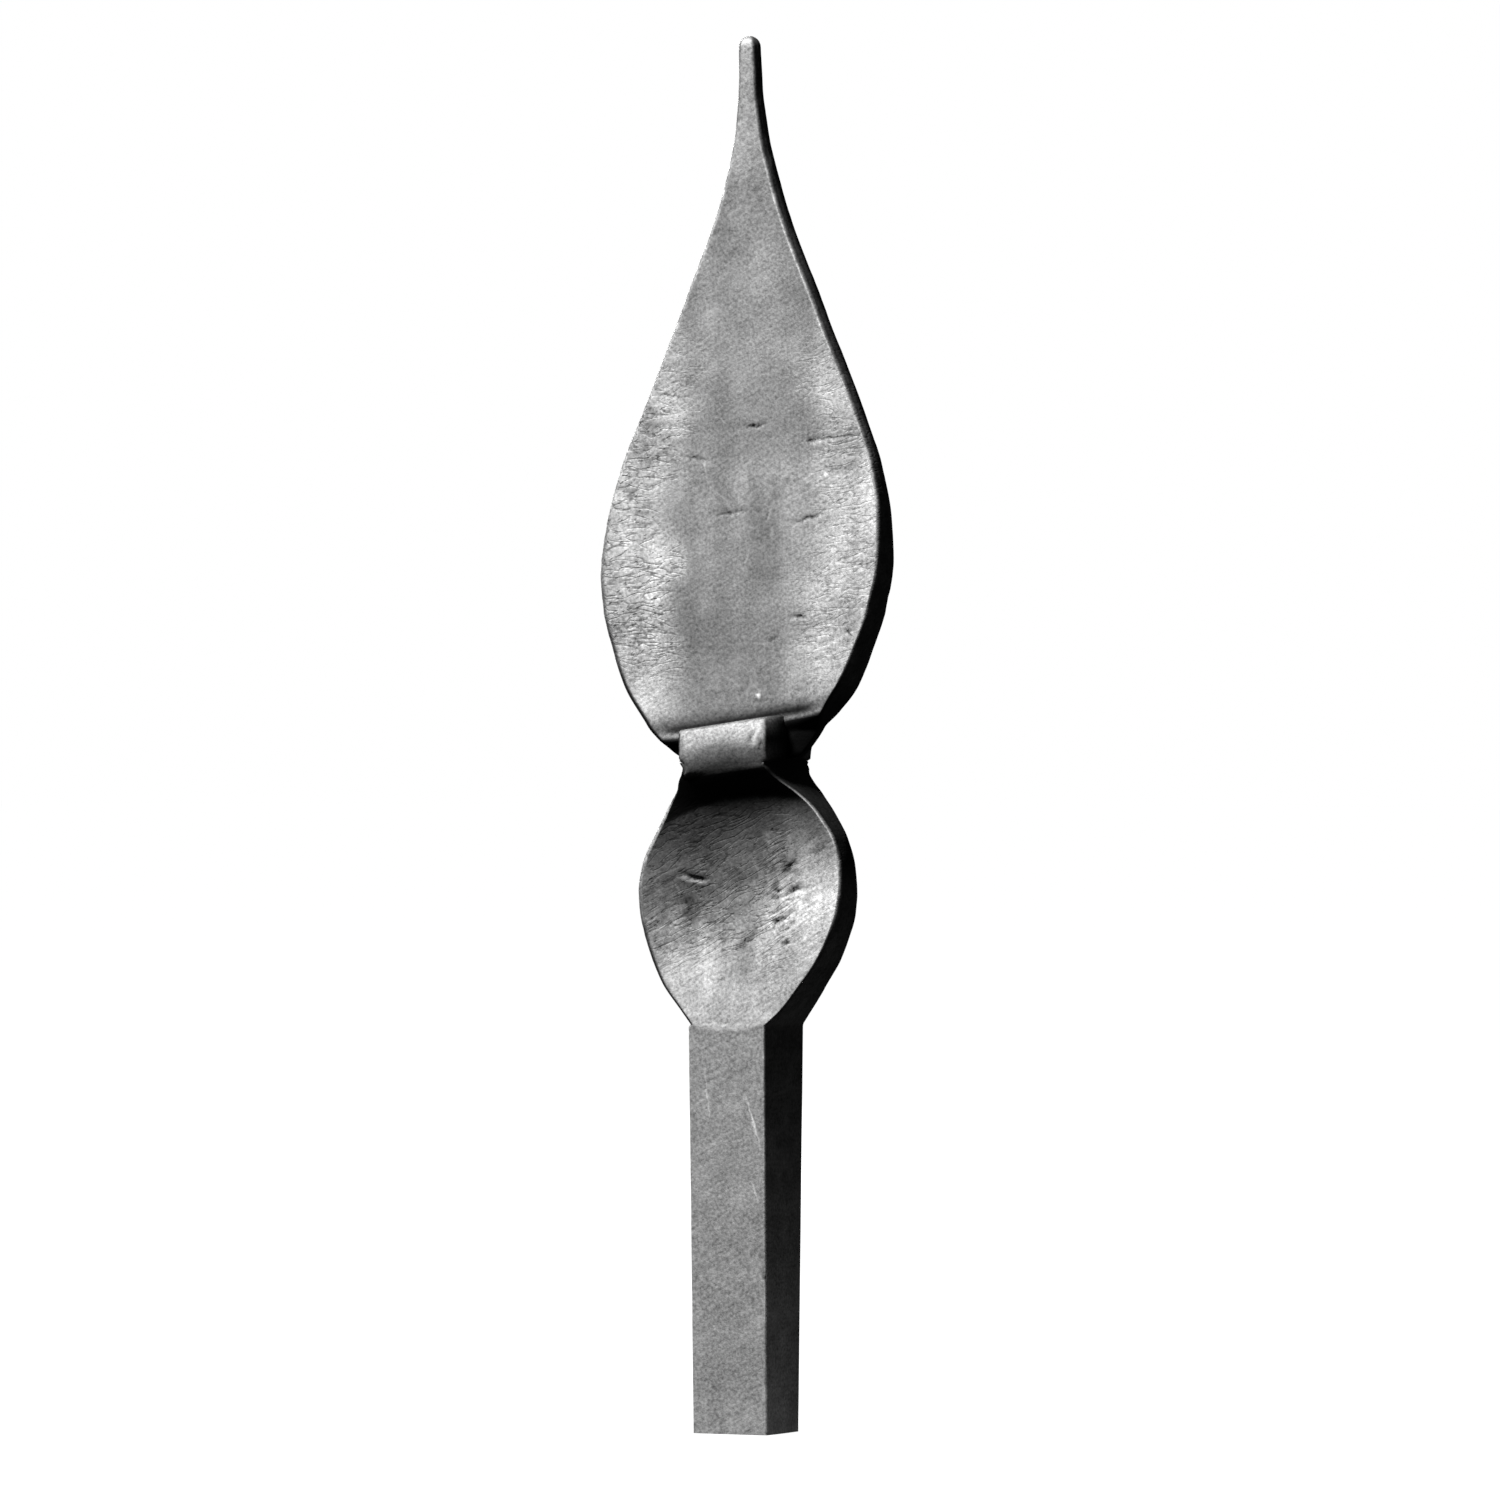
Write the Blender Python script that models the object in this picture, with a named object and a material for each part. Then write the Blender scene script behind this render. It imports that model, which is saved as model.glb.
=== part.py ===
"""Forged iron fence finial: a square bar hammered out into a dished ball, a square neck block and a leaf.

The whole finial is one forging. +Z runs up the bar to the tip of the leaf, -Y is the front, and the
origin is the centre of the square cut end of the bar.
"""

import math

import bmesh
import bpy

# Driving dimensions, in metres
BAR_WIDTH = 0.0162
BAR_DEPTH = 0.0166
BAR_END_WIDTH = 0.0156
BAR_END_DEPTH = 0.0138
BAR_EDGE_RADIUS = 0.0006
SHANK_LENGTH = 0.0758

BALL_LENGTH = 0.0477
BALL_WIDTH = 0.0439
BALL_RIM_THICKNESS = 0.0078
BALL_DISH_THICKNESS = 0.0050
BALL_EDGE_RADIUS = 0.0010

BLOCK_WIDTH = 0.0182
BLOCK_DEPTH = 0.0204
BLOCK_RISE = 0.0084
BLOCK_FACE_CROWN = 0.0010
WAIST_DEPTH = 0.0184
BLOCK_EDGE_RADIUS = 0.0006
BLOCK_TILT_DEG = 8.5
TILT_REACH = 0.0230
UNDERSIDE_REACH = 0.0045
UNDERSIDE_EDGE = 0.0010
UNDERSIDE_CUT = 0.0016
SHOULDER_SAG = 0.0009

LEAF_LENGTH = 0.1362
LEAF_WIDTH = 0.0594
LEAF_RIM_THICKNESS = 0.0076
LEAF_MIDDLE_THICKNESS = 0.0054
LEAF_EDGE_RADIUS = 0.0010
LEFT_EDGE_SHARE = 2.4
GROOVE_DEPTH = 0.0009
GROOVE_HEIGHT = 0.0019
GROOVE_DROP = 0.0004

TIP_WIDTH = 0.0042
TIP_THICKNESS = 0.0034

# How far the hand-made middle line strays to either side
DRIFT = 0.0014

# Fineness of the mesh: about how tall one row of faces is on the ball and on the leaf
BALL_ROW = 0.0018
LEAF_ROW = 0.0026
FACE_COLUMNS = 4
CORNER_STEPS = 2

# Heights that follow from the sizes above
WAIST_Z = SHANK_LENGTH + BALL_LENGTH
BLOCK_TOP_Z = WAIST_Z + BLOCK_RISE
CREST_Z = WAIST_Z + BLOCK_RISE * 0.5
TIP_Z = WAIST_Z + LEAF_LENGTH
BLOCK_TILT = math.tan(math.radians(BLOCK_TILT_DEG))

# Carving of the ball, each value at a share of its length up from the shoulder. The half-width is in
# shares of the ball's own, the rim and the middle of the dish in shares of half their thickness.
BALL_OUTLINE = [
    (0.065, 0.517), (0.157, 0.689), (0.252, 0.824), (0.346, 0.918), (0.438, 0.98), (0.532, 1.0),
    (0.625, 0.976), (0.72, 0.896), (0.813, 0.767), (0.86, 0.686), (0.906, 0.588), (0.954, 0.490),
    (0.985, 0.428),
]
BALL_RIM = [
    (0.065, 1.70), (0.157, 1.50), (0.298, 1.28), (0.486, 1.065), (0.625, 0.92), (0.72, 0.87), (0.80, 0.97),
    (0.86, 1.13), (0.906, 1.45), (0.954, 1.87),
]
BALL_MIDDLE = [
    (0.035, 2.94), (0.096, 2.48), (0.178, 1.94), (0.26, 1.46), (0.32, 1.20), (0.38, 1.04), (0.45, 1.0),
    (0.55, 1.08), (0.65, 1.20), (0.72, 1.33), (0.79, 1.50), (0.835, 1.68), (0.865, 1.85), (0.89, 2.10),
    (0.93, 2.72), (0.97, 3.36),
]
BALL_SKEW = [(0.15, 0.10), (0.45, 0.42), (0.80, 0.22)]
BALL_DRIFT = [
    (0.065, -0.2), (0.157, -0.46), (0.252, -0.3), (0.438, -0.14), (0.625, 0.07), (0.765, 0.5), (0.906, 0.53),
    (0.954, 0.1),
]

# Carving of the leaf, at shares of its length up from the waist, in the same way
LEAF_OUTLINE = [
    (0.007, 0.309), (0.016, 0.430), (0.033, 0.52), (0.049, 0.588), (0.065, 0.635), (0.1145, 0.79),
    (0.16, 0.876), (0.213, 0.958),
    (0.278, 1.0), (0.344, 0.976), (0.41, 0.905), (0.475, 0.787), (0.541, 0.660), (0.606, 0.530),
    (0.672, 0.406), (0.737, 0.279), (0.803, 0.178), (0.869, 0.108), (0.934, 0.077),
]
LEAF_RIM = [(0.016, 1.36), (0.08, 1.34), (0.15, 1.17), (0.28, 1.0), (0.41, 0.64), (0.80, 0.62), (0.93, 0.53)]
LEAF_MIDDLE = [
    (0.02, 1.30), (0.07, 1.05), (0.12, 1.0), (0.23, 1.11), (0.36, 1.04), (0.44, 0.89), (0.65, 0.85),
    (0.80, 0.81), (0.94, 0.70),
]
LEAF_DRIFT = [
    (0.016, -0.8), (0.033, -1.05), (0.05, -1.25), (0.08, -1.3), (0.15, -0.95), (0.21, -0.65), (0.28, -0.2),
    (0.41, 0.6), (0.52, 0.95), (0.80, 0.9), (0.93, 0.65),
]

# How flat the middle of the face stays before it turns up into the rim
BALL_FACE_POWER = 2.2
LEAF_FACE_POWER = 3.2


def curve_through(start, inner, end, size):
    """Values in metres along a length: both ends as given, and the inner ones as shares of a size."""
    return [(0.0, start)] + [(share, value * size) for share, value in inner] + [(1.0, end)]


def read_curve(points, share):
    """Reads a smooth curve through the points, one that never swings past them."""
    last = len(points) - 1
    share = min(max(share, 0.0), 1.0)
    index = 0
    while index < last - 1 and share > points[index + 1][0]:
        index += 1
    slopes = [(b[1] - a[1]) / (b[0] - a[0]) for a, b in zip(points, points[1:])]

    def slope_at(place):
        before = slopes[max(place - 1, 0)]
        after = slopes[min(place, last - 1)]
        if before * after <= 0:
            return 0.0
        return 2 * before * after / (before + after)

    (x0, y0), (x1, y1) = points[index], points[index + 1]
    span = x1 - x0
    t = (share - x0) / span
    rest = 1 - t
    ends = y0 * (1 + 2 * t) * rest ** 2 + y1 * (1 + 2 * rest) * t ** 2
    return ends + span * t * rest * (slope_at(index) * rest - slope_at(index + 1) * t)


BALL_CURVES = {
    "half_width": curve_through(BAR_WIDTH / 2, BALL_OUTLINE, BLOCK_WIDTH / 2, BALL_WIDTH / 2),
    "rim": curve_through(BAR_DEPTH / 2, BALL_RIM, WAIST_DEPTH / 2, BALL_RIM_THICKNESS / 2),
    "middle": curve_through(BAR_DEPTH / 2, BALL_MIDDLE, WAIST_DEPTH / 2, BALL_DISH_THICKNESS / 2),
    "centre": curve_through(0.0, BALL_DRIFT, 0.0, DRIFT),
}
LEAF_CURVES = {
    "half_width": curve_through(BLOCK_WIDTH / 2, LEAF_OUTLINE, TIP_WIDTH / 2, LEAF_WIDTH / 2),
    "rim": curve_through(WAIST_DEPTH / 2, LEAF_RIM, TIP_THICKNESS / 2, LEAF_RIM_THICKNESS / 2),
    "middle": curve_through(WAIST_DEPTH / 2, LEAF_MIDDLE, TIP_THICKNESS / 2, LEAF_MIDDLE_THICKNESS / 2),
    "centre": curve_through(0.0, LEAF_DRIFT, DRIFT * 0.5, DRIFT),
}


def section(z):
    """Gives the section at a height: its centre, half-width, rim, middle, edge radius and face power."""
    if z <= SHANK_LENGTH:
        up = max(z, 0.0) / SHANK_LENGTH
        half_depth = (BAR_END_DEPTH + (BAR_DEPTH - BAR_END_DEPTH) * up) / 2
        return {
            "centre": 0.0, "half_width": (BAR_END_WIDTH + (BAR_WIDTH - BAR_END_WIDTH) * up) / 2,
            "rim": half_depth, "middle": half_depth, "radius": BAR_EDGE_RADIUS, "power": BALL_FACE_POWER,
        }
    if z <= WAIST_Z:
        share = (z - SHANK_LENGTH) / BALL_LENGTH
        found = {name: read_curve(points, share) for name, points in BALL_CURVES.items()}
        swell = math.sin(math.pi * share)
        found["radius"] = BAR_EDGE_RADIUS + (BALL_EDGE_RADIUS - BAR_EDGE_RADIUS) * swell
        found["power"] = BALL_FACE_POWER
        return found
    share = (z - WAIST_Z) / LEAF_LENGTH
    found = {name: read_curve(points, share) for name, points in LEAF_CURVES.items()}
    grown = BLOCK_EDGE_RADIUS + (LEAF_EDGE_RADIUS - BLOCK_EDGE_RADIUS) * min(1.0, (z - WAIST_Z) / BLOCK_RISE)
    found["radius"] = min(grown, found["rim"] * 0.55, found["half_width"] * 0.6)
    found["power"] = LEAF_FACE_POWER
    return found


def block_face(z):
    """Half-depth of the neck block's crowned face at a height above the waist, or nothing above its top."""
    if z < WAIST_Z or z > BLOCK_TOP_Z + BLOCK_EDGE_RADIUS / 10:
        return 0.0
    along = (z - CREST_Z) / (BLOCK_TOP_Z - CREST_Z)
    face = BLOCK_DEPTH / 2 - BLOCK_FACE_CROWN * along ** 2
    into_edge = max(0.0, z - BLOCK_TOP_Z + BLOCK_EDGE_RADIUS) / BLOCK_EDGE_RADIUS
    return face - BLOCK_EDGE_RADIUS * min(into_edge, 1.0) ** 2


def tilt_at(row_z):
    """Slope of a row of faces across the width: that of the block's top edge, fading out above and below."""
    away = min(1.0, abs(row_z - CREST_Z) / TILT_REACH)
    return BLOCK_TILT * (1 - away ** 2) ** 2


def ball_skew(z):
    """How far the ball's carving climbs to the right for each metre across, as it was struck at a slant."""
    share = min(max((z - SHANK_LENGTH) / BALL_LENGTH, 0.0), 1.0)
    return read_curve(curve_through(0.0, BALL_SKEW, BLOCK_TILT, 1.0), share)


def underside(row_z):
    """How much the leaf's base is thinned towards the waist: 1 beside the block and 0 above it."""
    low = BLOCK_TOP_Z - UNDERSIDE_REACH * 0.7
    share = min(max((row_z - low) / (BLOCK_TOP_Z - low), 0.0), 1.0)
    return 1 - share ** 2 * (3 - 2 * share)


def face_depth(x, z, row_z):
    """Half-thickness of the forging at a point of its face."""
    here = section(z)
    way = abs(x - here["centre"])
    across = min(1.0, way / here["half_width"])
    if row_z <= WAIST_Z:
        sag = SHOULDER_SAG * (1 - across ** 2) * max(0.0, 1 - abs(z - SHANK_LENGTH) / (BALL_LENGTH / 4))
        middle = section(min(z - ball_skew(z) * x + sag, WAIST_Z))["middle"]
        rim = section(min(z, WAIST_Z))["rim"]
        depth = middle + (rim - middle) * across ** here["power"]
        outside = min(1.0, max(0.0, abs(x) - BLOCK_WIDTH / 2) / UNDERSIDE_CUT)
        above_waist = min(1.0, max(0.0, z - WAIST_Z) / UNDERSIDE_CUT)
        return depth - (depth - UNDERSIDE_EDGE) * outside * above_waist
    level = section(row_z)
    depth = level["middle"] + (level["rim"] - level["middle"]) * across ** level["power"]
    depth -= GROOVE_DEPTH * math.exp(-(((row_z - BLOCK_TOP_Z + GROOVE_DROP) / GROOVE_HEIGHT) ** 2))
    below = underside(row_z)
    inward = min(1.0, max(0.0, here["half_width"] - way) / UNDERSIDE_REACH)
    thinned = UNDERSIDE_EDGE + (depth - UNDERSIDE_EDGE) * inward ** 0.8 * (1 - 0.7 * below)
    return depth + (thinned - depth) * below


def edge_radius(row_z, here, side):
    """Radius of the edge along a side: the left edge was worked rounder than the right one."""
    if side > 0 or row_z < SHANK_LENGTH:
        return here["radius"]
    from_waist = min(1.0, abs(row_z - WAIST_Z) / BLOCK_RISE)
    rounder = here["radius"] * (1 + (LEFT_EDGE_SHARE - 1) * from_waist)
    return min(rounder, here["rim"] * 0.7, here["half_width"] * 0.6)


def half_loop(row_z, side):
    """One quarter of the loop around the forging: from the middle of the front to the middle of a side.

    The columns keep to the edge of the neck block, so that the edge stays crisp.
    """
    tilt = tilt_at(row_z)
    edge = side * BAR_WIDTH / 2
    for _ in range(6):
        here = section(row_z + tilt * edge)
        edge = here["centre"] + side * here["half_width"]
    here = section(row_z + tilt * edge)
    radius = edge_radius(row_z, here, side)
    beside_block = max(0.0, 1 - abs(row_z - CREST_Z) / BLOCK_RISE)
    centre = section(row_z)["centre"] * (1 - beside_block ** 0.5)
    reach = abs(edge - centre) - radius
    block_edge = min(BLOCK_WIDTH / 2, reach * 0.95)
    chamfer = min(BLOCK_EDGE_RADIUS, block_edge / 8)
    block_depth = block_face(row_z)

    ways = [block_edge * step / FACE_COLUMNS for step in range(FACE_COLUMNS)]
    ways[-1] = block_edge - 2 * chamfer
    ways += [block_edge - chamfer, block_edge]
    outer = block_edge + min(BLOCK_EDGE_RADIUS / 2, (reach - block_edge) / 3)
    ways += [outer + (reach - outer) * step / FACE_COLUMNS for step in range(FACE_COLUMNS + 1)]

    points = []
    for place, way in enumerate(ways):
        x = centre + side * way
        z = row_z + tilt * x
        depth = face_depth(x, z, row_z)
        if place < FACE_COLUMNS + 1:
            depth = max(depth, block_depth)
        elif place == FACE_COLUMNS + 1 or way <= BLOCK_WIDTH / 2:
            depth = max(depth, block_depth - chamfer)
        points.append((x, -depth, z))
    rim = -points[-1][1]
    radius = min(radius, rim * 0.7)
    for step in range(1, CORNER_STEPS + 1):
        turn = math.pi / 2 * step / CORNER_STEPS
        x = edge - side * radius * (1 - math.sin(turn))
        points.append((x, -(rim - radius * (1 - math.cos(turn))), row_z + tilt * x))
    points.append((edge, 0.0, row_z + tilt * edge))
    return points


def loop_points(row_z):
    """The closed loop of points around the forging at one row, counted round from the middle of the front."""
    right = half_loop(row_z, 1)
    left = half_loop(row_z, -1)
    right_back = [(x, -y, z) for x, y, z in reversed(right[:-1])]
    left_back = [(x, -y, z) for x, y, z in left[1:-1]]
    return right + right_back + left_back + [left[-1]] + list(reversed(left[1:-1]))


def spread(low, high, height):
    """Evenly spaced rows from low up to just under high."""
    count = max(1, round((high - low) / height))
    return [low + (high - low) * step / count for step in range(count)]


def row_heights():
    """Heights of the rows of faces, closest together at the shoulder, the waist and the block's edges."""
    shoulder_reach = BALL_EDGE_RADIUS * 2
    waist_reach = BALL_ROW * 3
    rows = [0.0]
    rows += spread(SHANK_LENGTH / 3, SHANK_LENGTH - shoulder_reach, SHANK_LENGTH / 3)
    rows += spread(SHANK_LENGTH - shoulder_reach, SHANK_LENGTH + shoulder_reach, BALL_ROW / 2)
    rows += spread(SHANK_LENGTH + shoulder_reach, WAIST_Z - waist_reach, BALL_ROW)
    rows += spread(WAIST_Z - waist_reach, WAIST_Z, BALL_ROW / 2)
    rows += spread(WAIST_Z, BLOCK_TOP_Z - BLOCK_EDGE_RADIUS, BALL_ROW / 2)
    rows += [BLOCK_TOP_Z - BLOCK_EDGE_RADIUS, BLOCK_TOP_Z - BLOCK_EDGE_RADIUS / 2, BLOCK_TOP_Z]
    groove_low = BLOCK_TOP_Z + GROOVE_HEIGHT / 4
    groove_high = BLOCK_TOP_Z + GROOVE_HEIGHT * 3
    rows += spread(groove_low, groove_high, GROOVE_HEIGHT / 2)
    rows += spread(groove_high, TIP_Z - TIP_WIDTH / 2, LEAF_ROW)
    return rows


def tip_rows(ring):
    """Rounds the end of the tip: smaller and smaller copies of the ring, up to a small flat."""
    middle_x = sum(x for x, _, _ in ring) / len(ring)
    base_z = ring[0][2]
    radius = TIP_Z - base_z
    rings = []
    for step in range(1, 4):
        turn = math.pi / 2 * step / 3.6
        rings.append([
            (middle_x + (x - middle_x) * math.cos(turn), y * math.cos(turn), base_z + radius * math.sin(turn))
            for x, y, _ in ring
        ])
    return rings


def build_forging(collection):
    """Lofts the forging through its rows and closes it at the cut end and the tip."""
    rings = [loop_points(z) for z in row_heights()]
    rings.append([(x, y, TIP_Z - TIP_WIDTH / 2) for x, y, _ in loop_points(TIP_Z - TIP_WIDTH / 2)])
    rings += tip_rows(rings[-1])

    shape = bmesh.new()
    grid = [[shape.verts.new(point) for point in ring] for ring in rings]
    around = len(grid[0])
    for low, high in zip(grid, grid[1:]):
        for place in range(around):
            after = (place + 1) % around
            shape.faces.new((low[place], low[after], high[after], high[place]))
    shape.faces.new(list(reversed(grid[0])))
    shape.faces.new(grid[-1])
    bmesh.ops.recalc_face_normals(shape, faces=shape.faces)

    mesh = bpy.data.meshes.new("forged_finial")
    shape.to_mesh(mesh)
    shape.free()
    mesh.shade_smooth()
    mesh.set_sharp_from_angle(angle=math.radians(35))
    finial = bpy.data.objects.new("forged_finial", mesh)
    collection.objects.link(finial)
    return finial


def forged_iron():
    """Bare wrought iron, wire brushed: dull grey and slightly rough."""
    material = bpy.data.materials.new("forged_iron")
    material.use_nodes = True
    shader = material.node_tree.nodes["Principled BSDF"]
    shader.inputs["Base Color"].default_value = (0.30, 0.30, 0.30, 1.0)
    shader.inputs["Metallic"].default_value = 1.0
    shader.inputs["Roughness"].default_value = 0.5
    return material


def main():
    for old in list(bpy.data.objects):
        bpy.data.objects.remove(old)
    collection = bpy.data.collections.new("fence_finial")
    bpy.context.scene.collection.children.link(collection)
    finial = build_forging(collection)
    finial.data.materials.append(forged_iron())


main()
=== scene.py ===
"""Forged iron fence finial, with its hammered and brushed surface, on a plain studio floor.

One piece stands for the one forging of the frame. Its form follows the same sizes as the solid, and
the wrinkles, dents, cracks and hammer marks of the forging are real relief in its mesh.
"""

import math

import bpy
import numpy as np
from bpy.props import FloatProperty, FloatVectorProperty, PointerProperty
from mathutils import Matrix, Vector


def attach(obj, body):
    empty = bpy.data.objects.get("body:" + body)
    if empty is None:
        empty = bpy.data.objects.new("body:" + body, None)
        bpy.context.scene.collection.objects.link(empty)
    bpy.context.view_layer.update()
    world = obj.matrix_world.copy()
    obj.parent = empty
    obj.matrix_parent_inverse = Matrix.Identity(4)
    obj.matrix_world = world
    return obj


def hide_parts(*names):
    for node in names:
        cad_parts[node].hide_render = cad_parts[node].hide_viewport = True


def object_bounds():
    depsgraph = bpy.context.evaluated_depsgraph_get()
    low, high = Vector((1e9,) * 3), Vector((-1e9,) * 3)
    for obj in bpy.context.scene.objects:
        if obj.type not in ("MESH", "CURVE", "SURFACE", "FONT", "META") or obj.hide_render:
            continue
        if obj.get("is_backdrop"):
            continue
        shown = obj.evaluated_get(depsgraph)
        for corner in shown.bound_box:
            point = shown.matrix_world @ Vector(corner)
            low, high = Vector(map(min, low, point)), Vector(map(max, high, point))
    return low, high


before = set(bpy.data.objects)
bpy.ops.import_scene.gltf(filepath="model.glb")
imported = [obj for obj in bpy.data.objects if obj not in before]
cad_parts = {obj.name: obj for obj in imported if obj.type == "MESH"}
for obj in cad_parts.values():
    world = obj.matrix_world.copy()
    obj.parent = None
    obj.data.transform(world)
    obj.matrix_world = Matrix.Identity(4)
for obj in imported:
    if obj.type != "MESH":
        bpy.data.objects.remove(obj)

CAD_LOW, CAD_HIGH = (np.array(corner, dtype=float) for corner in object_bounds())

bl_info = {
    "name": "Forged Fence Finial",
    "version": (1, 0, 0),
    "blender": (4, 5, 0),
    "location": "3D View > Sidebar > Finial",
    "description": "Builds a forged iron fence finial with a leaf head, and a plain studio around it",
    "category": "Add Mesh",
}

NODE = "forged_finial"
PIECE = "forged_finial_surface"
BODY = "root"

# Sizes of the forging, in metres, as the solid has them
BAR_WIDTH = 0.0162
BAR_DEPTH = 0.0166
BAR_END_WIDTH = 0.0156
BAR_END_DEPTH = 0.0138
BAR_EDGE_RADIUS = 0.0006
SHANK_LENGTH = 0.0758
BALL_LENGTH = 0.0477
BALL_WIDTH = 0.0439
BALL_RIM_THICKNESS = 0.0078
BALL_DISH_THICKNESS = 0.0050
BALL_EDGE_RADIUS = 0.0010
BLOCK_WIDTH = 0.0182
BLOCK_DEPTH = 0.0204
BLOCK_RISE = 0.0084
BLOCK_FACE_CROWN = 0.0010
WAIST_DEPTH = 0.0184
BLOCK_EDGE_RADIUS = 0.0006
BLOCK_TILT = math.tan(math.radians(8.5))
TILT_REACH = 0.0230
UNDERSIDE_REACH = 0.0045
UNDERSIDE_EDGE = 0.0010
UNDERSIDE_CUT = 0.0016
SHOULDER_SAG = 0.0009
LEAF_LENGTH = 0.1362
LEAF_WIDTH = 0.0594
LEAF_RIM_THICKNESS = 0.0076
LEAF_MIDDLE_THICKNESS = 0.0054
LEAF_EDGE_RADIUS = 0.0010
LEFT_EDGE_SHARE = 2.4
GROOVE_DEPTH = 0.0009
GROOVE_HEIGHT = 0.0019
GROOVE_DROP = 0.0004
TIP_WIDTH = 0.0042
TIP_THICKNESS = 0.0034
DRIFT = 0.0014

WAIST_Z = SHANK_LENGTH + BALL_LENGTH
BLOCK_TOP_Z = WAIST_Z + BLOCK_RISE
CREST_Z = WAIST_Z + BLOCK_RISE * 0.5
TIP_Z = WAIST_Z + LEAF_LENGTH
MM = 0.001

# Carving of the ball at shares of its length up from the shoulder, and of the leaf at shares of its
# length up from the waist: half-width, rim, middle of the face, and drift of the middle line
BALL_OUTLINE = [
    (0.065, 0.517), (0.157, 0.689), (0.252, 0.824), (0.346, 0.918), (0.438, 0.98), (0.532, 1.0),
    (0.625, 0.976), (0.72, 0.896), (0.813, 0.767), (0.86, 0.686), (0.906, 0.588), (0.954, 0.490),
    (0.985, 0.428),
]
BALL_RIM = [
    (0.065, 1.70), (0.157, 1.50), (0.298, 1.28), (0.486, 1.065), (0.625, 0.92), (0.72, 0.87), (0.80, 0.97),
    (0.86, 1.13), (0.906, 1.45), (0.954, 1.87),
]
BALL_MIDDLE = [
    (0.035, 2.94), (0.096, 2.48), (0.178, 1.94), (0.26, 1.46), (0.32, 1.20), (0.38, 1.04), (0.45, 1.0),
    (0.55, 1.08), (0.65, 1.20), (0.72, 1.33), (0.79, 1.50), (0.835, 1.68), (0.865, 1.85), (0.89, 2.10),
    (0.93, 2.72), (0.97, 3.36),
]
BALL_SKEW = [(0.15, 0.10), (0.45, 0.42), (0.80, 0.22)]
BALL_DRIFT = [
    (0.065, -0.2), (0.157, -0.46), (0.252, -0.3), (0.438, -0.14), (0.625, 0.07), (0.765, 0.5),
    (0.906, 0.53), (0.954, 0.1),
]
LEAF_OUTLINE = [
    (0.007, 0.309), (0.016, 0.430), (0.033, 0.52), (0.049, 0.588), (0.065, 0.635), (0.1145, 0.79),
    (0.16, 0.876), (0.213, 0.958), (0.278, 1.0), (0.344, 0.976), (0.41, 0.905), (0.475, 0.787),
    (0.541, 0.660), (0.606, 0.530), (0.672, 0.406), (0.737, 0.279), (0.803, 0.178), (0.869, 0.108),
    (0.934, 0.077),
]
LEAF_RIM = [
    (0.016, 1.36), (0.08, 1.34), (0.15, 1.17), (0.28, 1.0), (0.41, 0.64), (0.80, 0.62), (0.93, 0.53),
]
LEAF_MIDDLE = [
    (0.02, 1.30), (0.07, 1.05), (0.12, 1.0), (0.23, 1.11), (0.36, 1.04), (0.44, 0.89), (0.65, 0.85),
    (0.80, 0.81), (0.94, 0.70),
]
LEAF_DRIFT = [
    (0.016, -0.8), (0.033, -1.05), (0.05, -1.25), (0.08, -1.3), (0.15, -0.95), (0.21, -0.65), (0.28, -0.2),
    (0.41, 0.6), (0.52, 0.95), (0.80, 0.9), (0.93, 0.65),
]
BALL_FACE_POWER = 2.2
LEAF_FACE_POWER = 3.2

# Fineness of the mesh: row heights in metres, and columns in one quarter of the loop
SHANK_ROW = 0.9 * MM
WORKED_ROW = 0.45 * MM
BLOCK_COLUMNS = 14
BEVEL_COLUMNS = 4
OUTER_COLUMNS = 20
CORNER_STEPS = 5
SIDE_STEPS = 3
TIP_STEPS = 5

# One seed for each face's random marks, and the quarters of a loop in order around it: the side, the
# face's seed, and whether the quarter runs from the side back to the middle
FRONT_SEED = 3
BACK_SEED = 203
QUARTERS = [(1, FRONT_SEED, False), (1, BACK_SEED, True), (-1, BACK_SEED, False), (-1, FRONT_SEED, True)]

# Half-width of the leaf's flat middle, which is the bar's old face, at heights in millimetres
FLAT_MIDDLE = [(132.0, 9.0), (143.0, 11.0), (158.0, 13.5), (173.0, 15.0), (190.0, 13.5), (215.0, 12.0)]

# Heights in millimetres where one part of the forging passes into the next
DISH_SPAN = (75.5, 76.8, 121.0, 124.0)
BALL_TO_LEAF = (118.0, 130.0)
LEAF_FOOT = (131.0, 136.0)
SPREAD_FOOT = (130.0, 136.0)

# Where the hammer's marks change, in millimetres: the shoulder, the ball's top and the block's face
SHOULDER = 76.0
BALL_TOP = 124.0
BLOCK_FACE_FOOT = 123.4
BLOCK_FACE_REACH = 8.9

# Where the creases begin and are full, and where they begin to end and are gone, in millimetres
LEAF_CREASES_SIDE = (-4.0, 4.5)
LEAF_CREASES_FOOT = (136.0, 148.0)
LEAF_CREASES_HEAD = (190.0, 214.0)
BALL_CREASES_SPAN = (81.0, 94.0, 112.0, 121.0)
BALL_SMOOTH_RIM = (8.5, 13.5)

# How creased the ball and the leaf's right are, when the leaf's left is 1, and how much of the ball's
# creases is missing at its right rim
BALL_CREASES = 0.9
RIGHT_CREASES = 0.55
RIM_SMOOTHED = 0.75

# How far the flow lines climb for each millimetre to the right
LEFT_CLIMB = 0.03
RIGHT_CLIMB = 0.16
BALL_CLIMB = 0.45

# Flow wrinkles in three sizes: length and spacing in millimetres, and share of the full depth
WRINKLE_SIZES = [(4.2, 1.4, 0.9), (3.0, 1.15, 1.0), (2.2, 1.0, 0.8)]

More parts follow.
